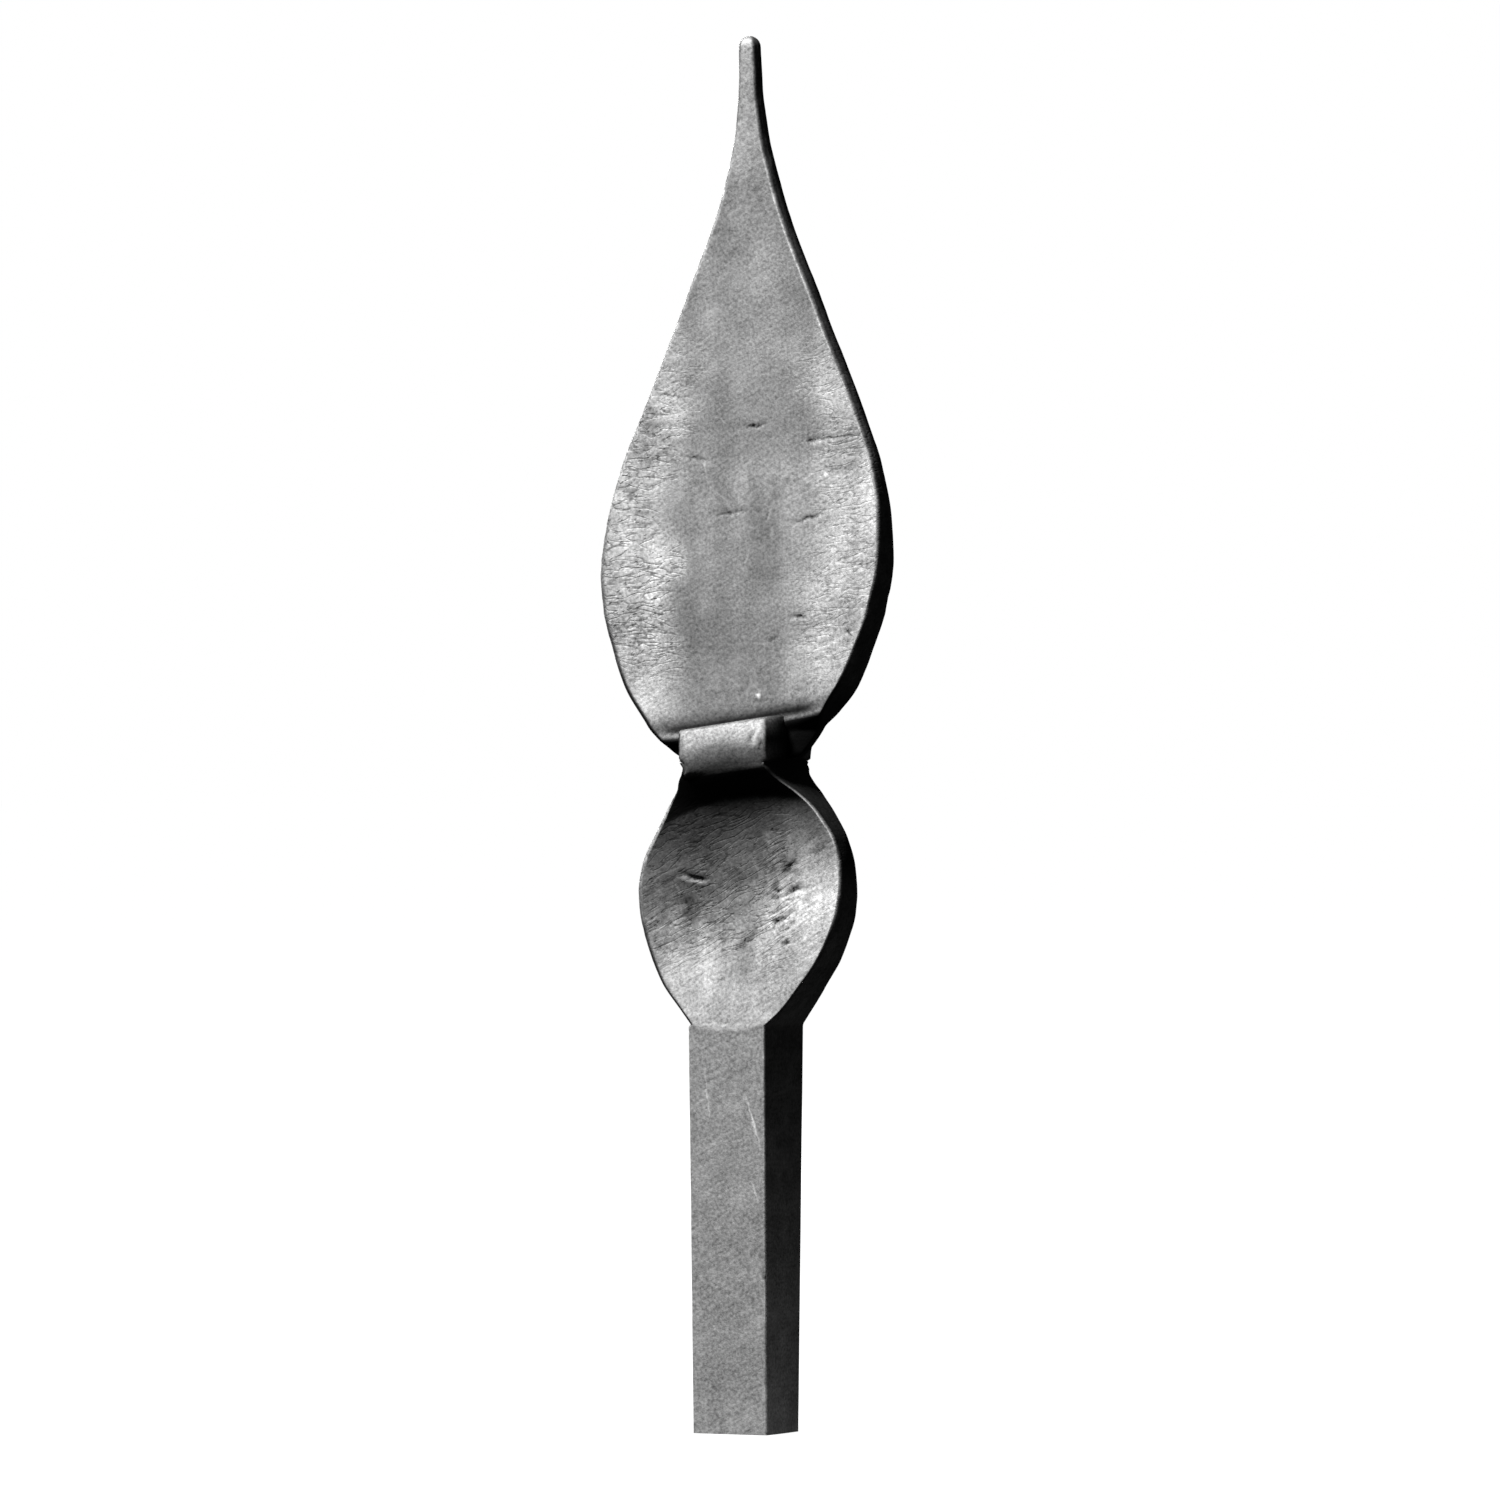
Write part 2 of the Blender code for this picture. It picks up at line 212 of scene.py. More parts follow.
# Tone of the brushed old face at heights in millimetres: 0 is dark scale and 1 is bare bright iron
OLD_FACE_TONES = [
    (0.0, 0.46), (40.0, 0.43), (72.0, 0.437), (118.0, 0.41), (131.7, 0.41), (133.0, 0.32), (150.0, 0.328),
    (175.0, 0.353), (205.0, 0.33), (226.0, 0.31), (240.0, 0.37), (258.0, 0.385),
]
# Tone of the leaf's spread side zones, at heights in millimetres
SPREAD_TONES = [(131.0, 0.38), (138.0, 0.44), (146.0, 0.60), (152.0, 0.66), (200.0, 0.58)]

# How much brighter the left side zone is than the average of both, because its many creases darken it
LEFT_BRIGHTER = 0.05

# How much the old face's upright streaks vary its tone
OLD_FACE_STREAKS = 0.13

# How much of the recess's painted shade lies on the back, where less shade falls
BACK_PAINTED_SHADE = 0.85

# Tone of the middle of the ball's dish, and the painted light that makes its right brighter where it faces
# the light, at heights in millimetres, and where the one turns into the other, in millimetres across
DISH_TONES = [(76.0, 0.17), (77.5, 0.29), (80.0, 0.32), (86.0, 0.36), (93.0, 0.46), (105.0, 0.46)]
DISH_RIGHT_PAINTED_LIGHT = [(80.0, 0.0), (88.0, 0.08), (93.0, 0.12), (98.0, 0.33), (108.0, 0.38), (114.0, 0.25)]
DISH_RIGHT = (2.0, 13.0)

# Soft streaks down the dish, each from one point to another, with its half-width and change of tone
DISH_STREAKS = [(-8.2, 96.2, -4.9, 83.5, 1.6, 0.10), (1.3, 92.5, 1.3, 86.0, 1.8, -0.09)]

# Painted shade on the dish: its upper left, which faces away from the light, above a slanted line through
# a point in millimetres, and its top under the block: each with the share of the tone that it takes away
DISH_SHADE_POINT = (-20.3, 93.4)
DISH_SHADE_SLOPE = 0.36
DISH_SHADE = 0.58
DISH_TOP = (105.0, 116.0)
DISH_TOP_SHADE = 0.68

# Painted shade, black, in the recess around the block, in millimetres: the peak of its lower border on the
# dish, and how that border and the top of the painted shade on the block's lower hump bow down, in
# millimetres per square millimetre
RECESS_PEAK = (6.5, 118.3)
RECESS_BOW = 0.0115
HUMP_TOP = 127.8
HUMP_BOW = 0.036
# Where the painted shade covers the block's foot and its side walls, and how dark it makes the side
BLOCK_FOOT = (122.6, 123.8)
BLOCK_SIDE = (8.7, 9.15)
BLOCK_SIDE_SPAN = (123.0, 123.6, 130.7, 131.7)
BLOCK_SIDE_SHADE = 0.93

# Two drawn lines, in millimetres: painted shade in the groove at the leaf's base, and the hammered edge at
# the shoulder, each with its half-width and how dark it is
GROOVE_LINE = 132.6
GROOVE_LINE_REACH = 13.0
GROOVE_LINE_WIDTH = 0.7
GROOVE_LINE_SHADE = 0.85
SHOULDER_LINE = 75.9
SHOULDER_LINE_SAG = 0.6
SHOULDER_LINE_REACH = 8.3
SHOULDER_LINE_WIDTH = 0.55
SHOULDER_LINE_DARK = 0.50

# Marks of the forging, each from one point to another, in millimetres across and up, with the width
# and depth of the mark and how dark it is; scratches and fresh nicks are lighter than the face
LEAF_MARKS = [
    (14.2, 184.4, 25.2, 185.3, 0.17, 0.08, 0.9),
    (13.8, 184.3, 15.4, 184.4, 0.40, 0.10, 1.0),
    (0.9, 186.8, 4.9, 187.5, 0.35, 0.10, 1.1),
    (-5.4, 170.6, 1.2, 171.5, 0.30, 0.10, 0.9),
    (11.2, 169.1, 17.2, 170.8, 0.32, 0.12, 1.1),
    (10.9, 151.6, 14.2, 151.9, 0.34, 0.10, 1.1),
    (5.3, 147.1, 8.3, 147.9, 0.30, 0.08, 0.8),
    (22.3, 149.4, 23.8, 148.0, 0.26, 0.06, 0.8),
    (-18.3, 193.5, -10.9, 192.5, 0.26, 0.06, 0.7),
    (-12.6, 181.9, -6.6, 180.9, 0.30, 0.06, 0.7),
    (-7.6, 180.8, -7.2, 178.6, 0.32, -0.04, -0.7),
    (-5.4, 189.2, -2.1, 187.1, 0.20, 0.0, -0.6),
    (5.3, 168.3, 7.2, 173.2, 0.24, 0.0, -0.6),
    (0.9, 159.8, 2.4, 165.0, 0.22, 0.0, -0.5),
    (6.7, 166.2, 6.9, 168.4, 0.28, 0.0, -0.6),
    (-5.6, 175.2, -2.0, 173.0, 0.22, 0.0, -0.5),
    (17.7, 177.8, 17.9, 178.0, 0.35, -0.04, -1.2),
    (3.6, 136.9, 4.1, 137.0, 0.50, -0.25, -2.6),
]
BALL_MARKS = [
    (-11.5, 103.9, -7.0, 102.8, 0.42, 0.40, 2.3),
    (-12.4, 102.8, -6.4, 102.1, 0.30, -0.12, -1.0),
    (-12.9, 101.9, -12.3, 100.6, 0.24, -0.08, -0.8),
    (9.2, 104.7, 11.7, 106.2, 0.70, 0.34, 1.2),
    (10.1, 100.8, 12.5, 101.5, 0.50, 0.30, 1.05),
    (7.3, 100.8, 9.2, 101.2, 0.40, 0.24, 1.3),
    (6.9, 94.8, 10.1, 96.0, 0.46, 0.32, 1.1),
    (7.2, 94.4, 7.6, 93.9, 0.40, 0.15, 0.9),
    (9.6, 90.9, 10.9, 91.6, 0.46, 0.24, 0.9),
    (0.1, 90.5, 2.2, 91.9, 0.90, 0.12, 0.5),
    (-11.8, 98.4, -9.8, 99.0, 0.70, 0.15, 0.6),
    (14.8, 107.6, 17.9, 109.0, 0.40, 0.10, 0.6),
    (13.6, 109.6, 16.2, 110.8, 0.36, 0.08, 0.5),
    (5.5, 111.6, 6.9, 108.8, 0.60, -0.12, -0.7),
    (8.4, 103.4, 9.0, 98.8, 0.70, -0.14, -0.6),
    (3.2, 106.2, 4.4, 103.2, 0.50, -0.10, -0.5),
]
BLOCK_MARKS = [
    (7.7, 130.9, 6.2, 127.3, 0.40, -0.05, -0.9),
    (6.5, 130.3, 5.5, 128.5, 0.45, 0.06, 0.7),
    (8.2, 129.2, 7.5, 126.6, 0.40, 0.06, 0.8),
    (-5.6, 128.6, -7.4, 126.8, 0.50, -0.04, -0.5),
]
SHANK_MARKS = [
    (3.7, 63.6, 7.2, 52.5, 0.22, 0.02, -1.4),
    (4.9, 47.2, 6.6, 43.2, 0.20, 0.02, -1.0),
    (7.3, 29.9, 8.2, 28.7, 0.50, 0.40, 1.3),
    (-4.6, 70.0, -3.2, 55.0, 0.18, 0.02, -0.6),
    (-1.8, 36.0, 2.6, 31.0, 0.16, 0.01, -0.35),
    (-5.2, 22.0, -0.6, 17.5, 0.16, 0.01, -0.35),
]
FRONT_MARKS = LEAF_MARKS + BLOCK_MARKS + BALL_MARKS + SHANK_MARKS

# How far the drawn marks' sides stray, and the least width of a mark in the mesh, in millimetres
RAGGED = 1.1 * MM
LEAST_MARK_WIDTH = 0.4

# The side walls: their roughness, how far their edges wander, where above the shoulder both set in, and
# the crown as a share of the edge's radius
WALL_ROUGHNESS = 0.10 * MM
EDGE_WOBBLE = 0.12 * MM
ABOVE_SHOULDER = (SHANK_LENGTH, SHANK_LENGTH + 4 * MM)
WALL_CROWN = 0.25

# Tone of the side walls, dark scale with painted shade, and of the edges, rubbed on the bar and above it
# with painted light where they face up and painted shade where they face down, and at what heights in
# millimetres each gets more painted shade
WALL_TONE = 0.22
WALL_SHADE = 0.07
WALL_SHADE_FROM = (40.0, 76.0)
NECK_WALL_SHADE = 0.11
NECK_WALL_SPAN = (98.0, 108.0, 131.0, 140.0)
BAR_EDGE_TONE = 0.66
LEVEL_EDGE_TONE = 0.38
NECK_EDGE_SHADE = 0.95
NECK_EDGE_SPAN = (117.0, 121.0, 131.0, 134.0)

# The soft lights: what each shines at, the direction it comes from, and its distance and size in metres
MIDDLE = (0.0, 0.0, TIP_Z * 0.55)
FOOT = (0.0, 0.0, -12 * MM)
LIGHTS = [
    ("key", MIDDLE, (-0.28, -0.58, 0.77), 1.8, 0.35),
    ("back", MIDDLE, (-0.65, 0.80, 0.35), 1.8, 0.50),
    ("fill", FOOT, (1.0, 0.05, -0.05), 0.07, 0.03),
    ("side", MIDDLE, (0.88, -0.47, 0.1), 1.8, 0.50),
]

# What the camera looks at, to the right of the bar's middle line and up, and the studio's faint light
CAMERA_AIM = (0.74 * MM, 126.9 * MM)
FAINT_GREY = 0.012


def linear(hex_colour):
    """Turns an sRGB hex value into linear red, green and blue."""
    channels = [int(hex_colour[start:start + 2], 16) / 255 for start in (1, 3, 5)]
    return tuple(c / 12.92 if c <= 0.04045 else ((c + 0.055) / 1.055) ** 2.4 for c in channels)


def ease(low, high, value):
    """Runs smoothly from 0 at low to 1 at high."""
    t = np.clip((value - low) / (high - low), 0.0, 1.0)
    return t * t * (3 - 2 * t)


def between(start, full, end, gone, value):
    """Rises from 0 at start to 1 at full, and falls again from end to where it is gone."""
    return ease(start, full, value) * (1 - ease(end, gone, value))


def power_setting(name, description, default):
    """The power of a light, as a setting."""
    return FloatProperty(name=name, description=description, default=default, min=0.0, unit="POWER")


class FinialForgingSettings(bpy.types.PropertyGroup):
    """Depths of the forging's marks and colours of its iron"""

    wrinkle_depth: FloatProperty(
        name="Wrinkle depth", description="Depth of the fine wrinkles where the iron was spread",
        default=0.11 * MM, min=0.0, max=0.5 * MM, unit="LENGTH",
    )
    hammer_depth: FloatProperty(
        name="Hammer depth", description="Depth of the broad, shallow hammer marks",
        default=0.10 * MM, min=0.0, max=1.0 * MM, unit="LENGTH",
    )
    pit_depth: FloatProperty(
        name="Pit depth", description="Depth of the small pits left by scale",
        default=0.12 * MM, min=0.0, max=0.5 * MM, unit="LENGTH",
    )
    iron: FloatVectorProperty(
        name="Iron", description="Colour of the brushed iron", subtype="COLOR",
        default=linear("#d8d8d8"), min=0.0, max=1.0,
    )
    scale: FloatVectorProperty(
        name="Scale", description="Colour of the dark scale left in creases and pits", subtype="COLOR",
        default=linear("#121212"), min=0.0, max=1.0,
    )
    roughness: FloatProperty(
        name="Roughness", description="Roughness of the bar's old face", subtype="FACTOR",
        default=0.72, min=0.0, max=1.0,
    )


class FinialStageSettings(bpy.types.PropertyGroup):
    """Floor, lights and camera of the studio"""

    floor: FloatVectorProperty(
        name="Floor", description="Colour of the floor and the backdrop", subtype="COLOR",
        default=linear("#ffffff"), min=0.0, max=1.0,
    )
    view_angle: FloatProperty(
        name="View angle", description="How far the camera stands round to the right of the front",
        default=math.radians(26.5), subtype="ANGLE",
    )
    distance: FloatProperty(
        name="Distance", description="Distance of the camera from the finial",
        default=2.0, min=0.5, unit="LENGTH",
    )
    frame_width: FloatProperty(
        name="Frame width", description="Width of what the camera sees at the finial",
        default=0.279, min=0.05, unit="LENGTH",
    )
    key_power: power_setting("Key power", "Power of the soft light above, to the left and in front", 92.0)
    back_power: power_setting("Back power", "Power of the soft light above and behind", 60.0)
    fill_power: power_setting("Fill power", "Power of the weak light at the foot of the right side", 0.012)
    side_power: power_setting("Side power", "Power of the weak light to the right", 1.0)


def curve_through(start, inner, end, size):
    """Values in metres along a length: both ends as given, and the inner ones as shares of a size."""
    return [(0.0, start)] + [(share, value * size) for share, value in inner] + [(1.0, end)]


def read_curve(points, share):
    """Reads a smooth curve through the points, one that never swings past them, at an array of shares."""
    places, values = np.array(points).T
    spans = np.diff(places)
    slopes = np.diff(values) / spans
    before = np.concatenate((slopes[:1], slopes))
    after = np.concatenate((slopes, slopes[-1:]))
    both = before * after
    total = np.where(both > 0, before + after, 1.0)
    tangents = np.where(both > 0, 2 * both / total, 0.0)
    share = np.clip(share, places[0], places[-1])
    index = np.clip(np.searchsorted(places, share, side="right") - 1, 0, len(spans) - 1)
    span = spans[index]
    t = (share - places[index]) / span
    rest = 1 - t
    ends = values[index] * (1 + 2 * t) * rest ** 2 + values[index + 1] * (1 + 2 * rest) * t ** 2
    return ends + span * t * rest * (tangents[index] * rest - tangents[index + 1] * t)


BALL_CURVES = {
    "half_width": curve_through(BAR_WIDTH / 2, BALL_OUTLINE, BLOCK_WIDTH / 2, BALL_WIDTH / 2),
    "rim": curve_through(BAR_DEPTH / 2, BALL_RIM, WAIST_DEPTH / 2, BALL_RIM_THICKNESS / 2),
    "middle": curve_through(BAR_DEPTH / 2, BALL_MIDDLE, WAIST_DEPTH / 2, BALL_DISH_THICKNESS / 2),
    "centre": curve_through(0.0, BALL_DRIFT, 0.0, DRIFT),
}
LEAF_CURVES = {
    "half_width": curve_through(BLOCK_WIDTH / 2, LEAF_OUTLINE, TIP_WIDTH / 2, LEAF_WIDTH / 2),
    "rim": curve_through(WAIST_DEPTH / 2, LEAF_RIM, TIP_THICKNESS / 2, LEAF_RIM_THICKNESS / 2),
    "middle": curve_through(WAIST_DEPTH / 2, LEAF_MIDDLE, TIP_THICKNESS / 2, LEAF_MIDDLE_THICKNESS / 2),
    "centre": curve_through(0.0, LEAF_DRIFT, DRIFT * 0.5, DRIFT),
}


def section(z):
    """The section at each height: its centre, half-width, rim, middle, edge radius and face power."""
    up = np.clip(z / SHANK_LENGTH, 0.0, 1.0)
    ball = np.clip((z - SHANK_LENGTH) / BALL_LENGTH, 0.0, 1.0)
    leaf = np.clip((z - WAIST_Z) / LEAF_LENGTH, 0.0, 1.0)
    half_depth = (BAR_END_DEPTH + (BAR_DEPTH - BAR_END_DEPTH) * up) / 2
    shank = {
        "half_width": (BAR_END_WIDTH + (BAR_WIDTH - BAR_END_WIDTH) * up) / 2,
        "rim": half_depth, "middle": half_depth, "centre": np.zeros_like(z),
    }
    in_shank = z <= SHANK_LENGTH
    in_ball = z <= WAIST_Z
    found = {}
    for name in shank:
        worked = np.where(in_ball, read_curve(BALL_CURVES[name], ball), read_curve(LEAF_CURVES[name], leaf))
        found[name] = np.where(in_shank, shank[name], worked)
    ball_radius = BAR_EDGE_RADIUS + (BALL_EDGE_RADIUS - BAR_EDGE_RADIUS) * np.sin(np.pi * ball)
    up_block = np.clip((z - WAIST_Z) / BLOCK_RISE, 0.0, 1.0)
    grown = BLOCK_EDGE_RADIUS + (LEAF_EDGE_RADIUS - BLOCK_EDGE_RADIUS) * up_block
    leaf_radius = np.minimum(grown, np.minimum(found["rim"] * 0.55, found["half_width"] * 0.6))
    found["radius"] = np.where(in_ball, ball_radius, leaf_radius)
    found["power"] = np.where(in_ball, BALL_FACE_POWER, LEAF_FACE_POWER)
    return found


def block_face(z):
    """Half-depth of the neck block's crowned face, and nothing below the waist or above its top."""
    along = (z - CREST_Z) / (BLOCK_TOP_Z - CREST_Z)
    into_edge = np.clip((z - BLOCK_TOP_Z + BLOCK_EDGE_RADIUS) / BLOCK_EDGE_RADIUS, 0.0, 1.0)
    face = BLOCK_DEPTH / 2 - BLOCK_FACE_CROWN * along ** 2 - BLOCK_EDGE_RADIUS * into_edge ** 2
    inside = (z >= WAIST_Z) & (z <= BLOCK_TOP_Z + BLOCK_EDGE_RADIUS / 10)
    return np.where(inside, face, 0.0)


def tilt_at(row_z):
    """Slope of each row across the width: that of the block's top edge, fading out above and below."""
    away = np.clip(np.abs(row_z - CREST_Z) / TILT_REACH, 0.0, 1.0)
    return BLOCK_TILT * (1 - away ** 2) ** 2


def ball_skew(z):
    """How far the ball's carving climbs to the right for each metre across, as it was struck at a slant."""
    share = np.clip((z - SHANK_LENGTH) / BALL_LENGTH, 0.0, 1.0)
    return read_curve(curve_through(0.0, BALL_SKEW, BLOCK_TILT, 1.0), share)


def underside(row_z):
    """How much the leaf's base is thinned towards the waist: 1 beside the block and 0 above it."""
    return 1 - ease(BLOCK_TOP_Z - UNDERSIDE_REACH * 0.7, BLOCK_TOP_Z, row_z)


def face_depth(x, z, row_z):
    """Half-thickness of the forging at points of its face, before any hammer mark."""
    here = section(z)
    way = np.abs(x - here["centre"])
    across = np.clip(way / here["half_width"], 0.0, 1.0)
    near_shoulder = np.clip(1 - np.abs(z - SHANK_LENGTH) / (BALL_LENGTH / 4), 0.0, 1.0)
    sag = SHOULDER_SAG * (1 - across ** 2) * near_shoulder
    middle = section(np.minimum(z - ball_skew(z) * x + sag, WAIST_Z))["middle"]
    rim = section(np.minimum(z, WAIST_Z))["rim"]
    ball = middle + (rim - middle) * across ** here["power"]
    outside = np.clip((np.abs(x) - BLOCK_WIDTH / 2) / UNDERSIDE_CUT, 0.0, 1.0)
    above_waist = np.clip((z - WAIST_Z) / UNDERSIDE_CUT, 0.0, 1.0)
    ball = ball - (ball - UNDERSIDE_EDGE) * outside * above_waist
    level = section(row_z)
    leaf = level["middle"] + (level["rim"] - level["middle"]) * across ** level["power"]
    leaf = leaf - GROOVE_DEPTH * np.exp(-(((row_z - BLOCK_TOP_Z + GROOVE_DROP) / GROOVE_HEIGHT) ** 2))
    below = underside(row_z)
    inward = np.clip((here["half_width"] - way) / UNDERSIDE_REACH, 0.0, 1.0)
    thinned = UNDERSIDE_EDGE + (leaf - UNDERSIDE_EDGE) * inward ** 0.8 * (1 - 0.7 * below)
    return np.where(row_z <= WAIST_Z, ball, leaf + (thinned - leaf) * below)


def lumps(across, up, seed):
    """Smooth random hills and hollows between -1 and 1, one to each unit across and up."""
    table = np.random.default_rng(seed).uniform(-1, 1, (256, 256))
    column, row = np.floor(across).astype(int), np.floor(up).astype(int)
    tx, ty = across - column, up - row
    tx, ty = tx * tx * (3 - 2 * tx), ty * ty * (3 - 2 * ty)
    left, right = column % 256, (column + 1) % 256
    below, above = row % 256, (row + 1) % 256
    low = table[below, left] * (1 - tx) + table[below, right] * tx
    high = table[above, left] * (1 - tx) + table[above, right] * tx
    return low * (1 - ty) + high * ty


def read_table(table, z):
    """Reads a table of heights and values at heights, straight from one row to the next."""
    heights, values = np.array(table).T
    return np.interp(z, heights, values)


def beside_line(x, z, from_x, from_z, to_x, to_z):
    """Where points lie beside a line: how far along it, off it and beyond its ends."""
    along_x, along_z = to_x - from_x, to_z - from_z
    length = math.hypot(along_x, along_z)
    along_x, along_z = along_x / length, along_z / length
    along = (x - from_x) * along_x + (z - from_z) * along_z
    off = (z - from_z) * along_x - (x - from_x) * along_z
    return along, off, np.maximum(0.0, np.maximum(-along, along - length))


def mark(x, z, from_x, from_z, to_x, to_z, width, depth):
    """Depth of one mark between two points, with ragged sides and a lip, at points in millimetres."""
    along, off, beyond = beside_line(x, z, from_x, from_z, to_x, to_z)
    width = max(width, LEAST_MARK_WIDTH)
    off = off + 0.6 * width * lumps(along / 1.1 + 5.0, np.full_like(along, from_x), 91)
    uneven = 0.75 + 0.25 * lumps(along / 0.8, np.full_like(along, from_z), 92)
    fade = np.exp(-(beyond / width) ** 2) * uneven
    cut = np.exp(-(off / width) ** 2)
    lip = np.exp(-((off + 2.1 * width) / width) ** 2)
    return depth * fade * (cut - 0.45 * lip)


def spread_zone(x, z):
    """Where the hammer spread the iron: 1 on the leaf's side zones and the ball, 0 on the old bar face.

    The first value is how creased the iron is there, and the second how far it was spread.
    """
    wander = 3.0 * lumps(x / 9.0, z / 9.0, 11) + 1.5 * lumps(x / 4.0, z / 3.0, 12)
    beyond_middle = np.abs(x + wander) - read_table(FLAT_MIDDLE, z)
    leaf = ease(*LEAF_CREASES_SIDE, beyond_middle) * (1 - ease(*LEAF_CREASES_HEAD, z))
    ball = BALL_CREASES * between(*BALL_CREASES_SPAN, z)
    ball = ball * (1 - RIM_SMOOTHED * ease(*BALL_SMOOTH_RIM, x))
    fewer = np.where(x > 0.0, RIGHT_CREASES, 1.0)
    creased = np.maximum(leaf * fewer * ease(*LEAF_CREASES_FOOT, z), ball)
    return creased, leaf * ease(*SPREAD_FOOT, z)


def flow_level(x, z):
    """Height of the flow line through a point, with its climb on the leaf's right and on the ball."""
    on_ball = 1 - ease(*BALL_TO_LEAF, z)
    climb = np.where(x > 0, RIGHT_CLIMB, LEFT_CLIMB) * (1 - on_ball) + BALL_CLIMB * on_ball
    return z - climb * x + 0.5 * lumps(x / 5.0, z / 4.0, 61)


def wrinkles(x, z, seed):
    """Flow wrinkles: short, wavy valleys that follow the flow lines, a bit over a millimetre apart."""
    level = flow_level(x, z) + 0.45 * lumps(x / 1.9, z / 2.2, seed + 5)
    total = np.zeros_like(x)
    for number, (length, spacing, share) in enumerate(WRINKLE_SIZES):
        wave = lumps(x / length + 17.3 * number, level / spacing, seed + 1 + number)
        total += share * np.clip(wave, 0.0, 1.0)
    patches = ease(-0.6, 0.4, lumps(x / 7.0, z / 5.0, seed + 9))
    return np.minimum(total, 1.3) * patches


def dish_tone(x, z):
    """How bright the ball's dish is, with painted shade above its slanted line and at its top, and painted
    light at its right.
    """
    tone = read_table(DISH_TONES, z)
    at_right = ease(*DISH_RIGHT, x + 1.5 * lumps(x / 6.0, z / 5.0, 72))
    # Painted light: the right of the dish, which faces the light, made brighter
    tone += read_table(DISH_RIGHT_PAINTED_LIGHT, z) * at_right
    for from_x, from_z, to_x, to_z, width, change in DISH_STREAKS:
        _, off, beyond = beside_line(x, z, from_x, from_z, to_x, to_z)
        tone += change * np.exp(-(off / width) ** 2 - (beyond / 2.0) ** 2)
    # Painted shade: the dish's upper left, which faces away from the light, and its top under the block
    shade_x, shade_z = DISH_SHADE_POINT
    above_line = z - shade_z - DISH_SHADE_SLOPE * (x - shade_x) + 1.6 * lumps(x / 5.0, z / 4.0, 71)
    tone = tone * (1 - DISH_SHADE * ease(-5.0, 5.0, above_line))
    return tone * (1 - DISH_TOP_SHADE * ease(*DISH_TOP, z - 0.25 * x))


def open_tone(x, z, spread):
    """How bright the open faces are: the brush left the old bar face grey and spread iron brighter; the
    ball's dish has painted light and shade.
    """
    tone = read_table(OLD_FACE_TONES, z)
    spread_tone = read_table(SPREAD_TONES, z) * (1 - LEFT_BRIGHTER * np.sign(x))
    tone = tone + (spread_tone - tone) * spread
    tone = tone * (1 + OLD_FACE_STREAKS * lumps(x / 3.4, z / 42.0, 63) * ease(*LEAF_FOOT, z))
    on_ball = between(*DISH_SPAN, z)
    return tone + (dish_tone(x, z) - tone) * on_ball


def recess_painted_shade(x, z):
    """How deep in the painted shade around the block a point lies: under the block on the dish, on the
    block's lower hump and on its side walls.
    """
    level = z - BLOCK_TILT * x
    peak_x, peak_z = RECESS_PEAK
    dish_top = peak_z - RECESS_BOW * (x - peak_x) ** 2 + 0.3 * lumps(x / 2.0, z / 2.0, 73)
    on_block = ease(*BLOCK_FOOT, level)
    under_block = ease(-0.5, 0.5, z - dish_top) * (1 - on_block)
    # Painted shade on the lower part of the block's crowned face, which turns down
    below_hump = HUMP_TOP - HUMP_BOW * x ** 2 + 0.6 * lumps(x / 2.2, z / 2.2, 74) - level
    hump = 0.32 * ease(-0.8, 0.8, below_hump) + 0.34 * ease(0.6, 4.6, below_hump)
    way = np.abs(x)
    # Painted shade on the block's side walls, beside the leaf's base
    side_shade = BLOCK_SIDE_SHADE + (1 - BLOCK_SIDE_SHADE) * ease(9.15, 9.6, way)
    beside_block = ease(*BLOCK_SIDE, way) * between(*BLOCK_SIDE_SPAN, level) * side_shade
    return np.maximum(np.maximum(under_block, hump * on_block), beside_block)


def hammer_marks(x, z, seed):
    """Broad, shallow hills of the hammer, and the upright streaks that it left, most of all on the ball."""
    broad = 0.7 * lumps(x / 6.0, z / 8.0, seed + 20) + 0.3 * lumps(x / 2.8, z / 3.4, seed + 21)
    broad = broad * np.where(z < SHOULDER, 0.35, 1.0)
    on_ball = (z > SHOULDER) & (z < BALL_TOP)
    streaks = 0.5 * lumps(x / 1.5, z / 9.0, seed + 40) * np.where(on_ball, 1.0, 0.15)
    return broad, streaks


def pits_and_dents(x, z, creased, seed):
    """Small pits left by scale, and the deeper dents around one place at the right of the dish."""
    pits = ease(0.66, 0.95, lumps((x - 0.6 * z) / 1.0, (z - 0.5 * x) / 0.8, seed + 30))
    pits = pits * (0.2 + 0.6 * creased)
    dents = ease(0.25, 0.75, lumps(x / 1.9, (z - 0.3 * x) / 1.2, seed + 50))
    dents = dents * np.exp(-((x - 10.5) / 4.0) ** 2 - ((z - 99.0) / 7.5) ** 2)
    return pits, dents


def surface_tone(x, z, spread, worn, seed):
    """How bright (1) or scale-dark (0) the surface is, with painted shade in the recess and in the groove,
    and the shoulder's drawn line.
    """
    # Painted shade in the recess around the block, weaker on the back
    dark = recess_painted_shade(x, z) * (1.0 if seed == FRONT_SEED else BACK_PAINTED_SHADE)
    bright = open_tone(x, z, spread) * (1 + worn) * (1 - dark)
    # Painted shade along the groove at the leaf's base
    groove = np.exp(-((z - BLOCK_TILT * x - GROOVE_LINE) / GROOVE_LINE_WIDTH) ** 2)
    bright = bright * (1 - GROOVE_LINE_SHADE * groove * ease(4.0, 0.0, np.abs(x) - GROOVE_LINE_REACH))
    sag = SHOULDER_LINE_SAG * (1 - (x / 8.0) ** 2)
    shoulder = np.exp(-((z - SHOULDER_LINE + sag) / SHOULDER_LINE_WIDTH) ** 2)
    bright = bright * (1 - SHOULDER_LINE_DARK * shoulder * (np.abs(x) < SHOULDER_LINE_REACH))
    return np.clip(bright, 0.0, 1.2)


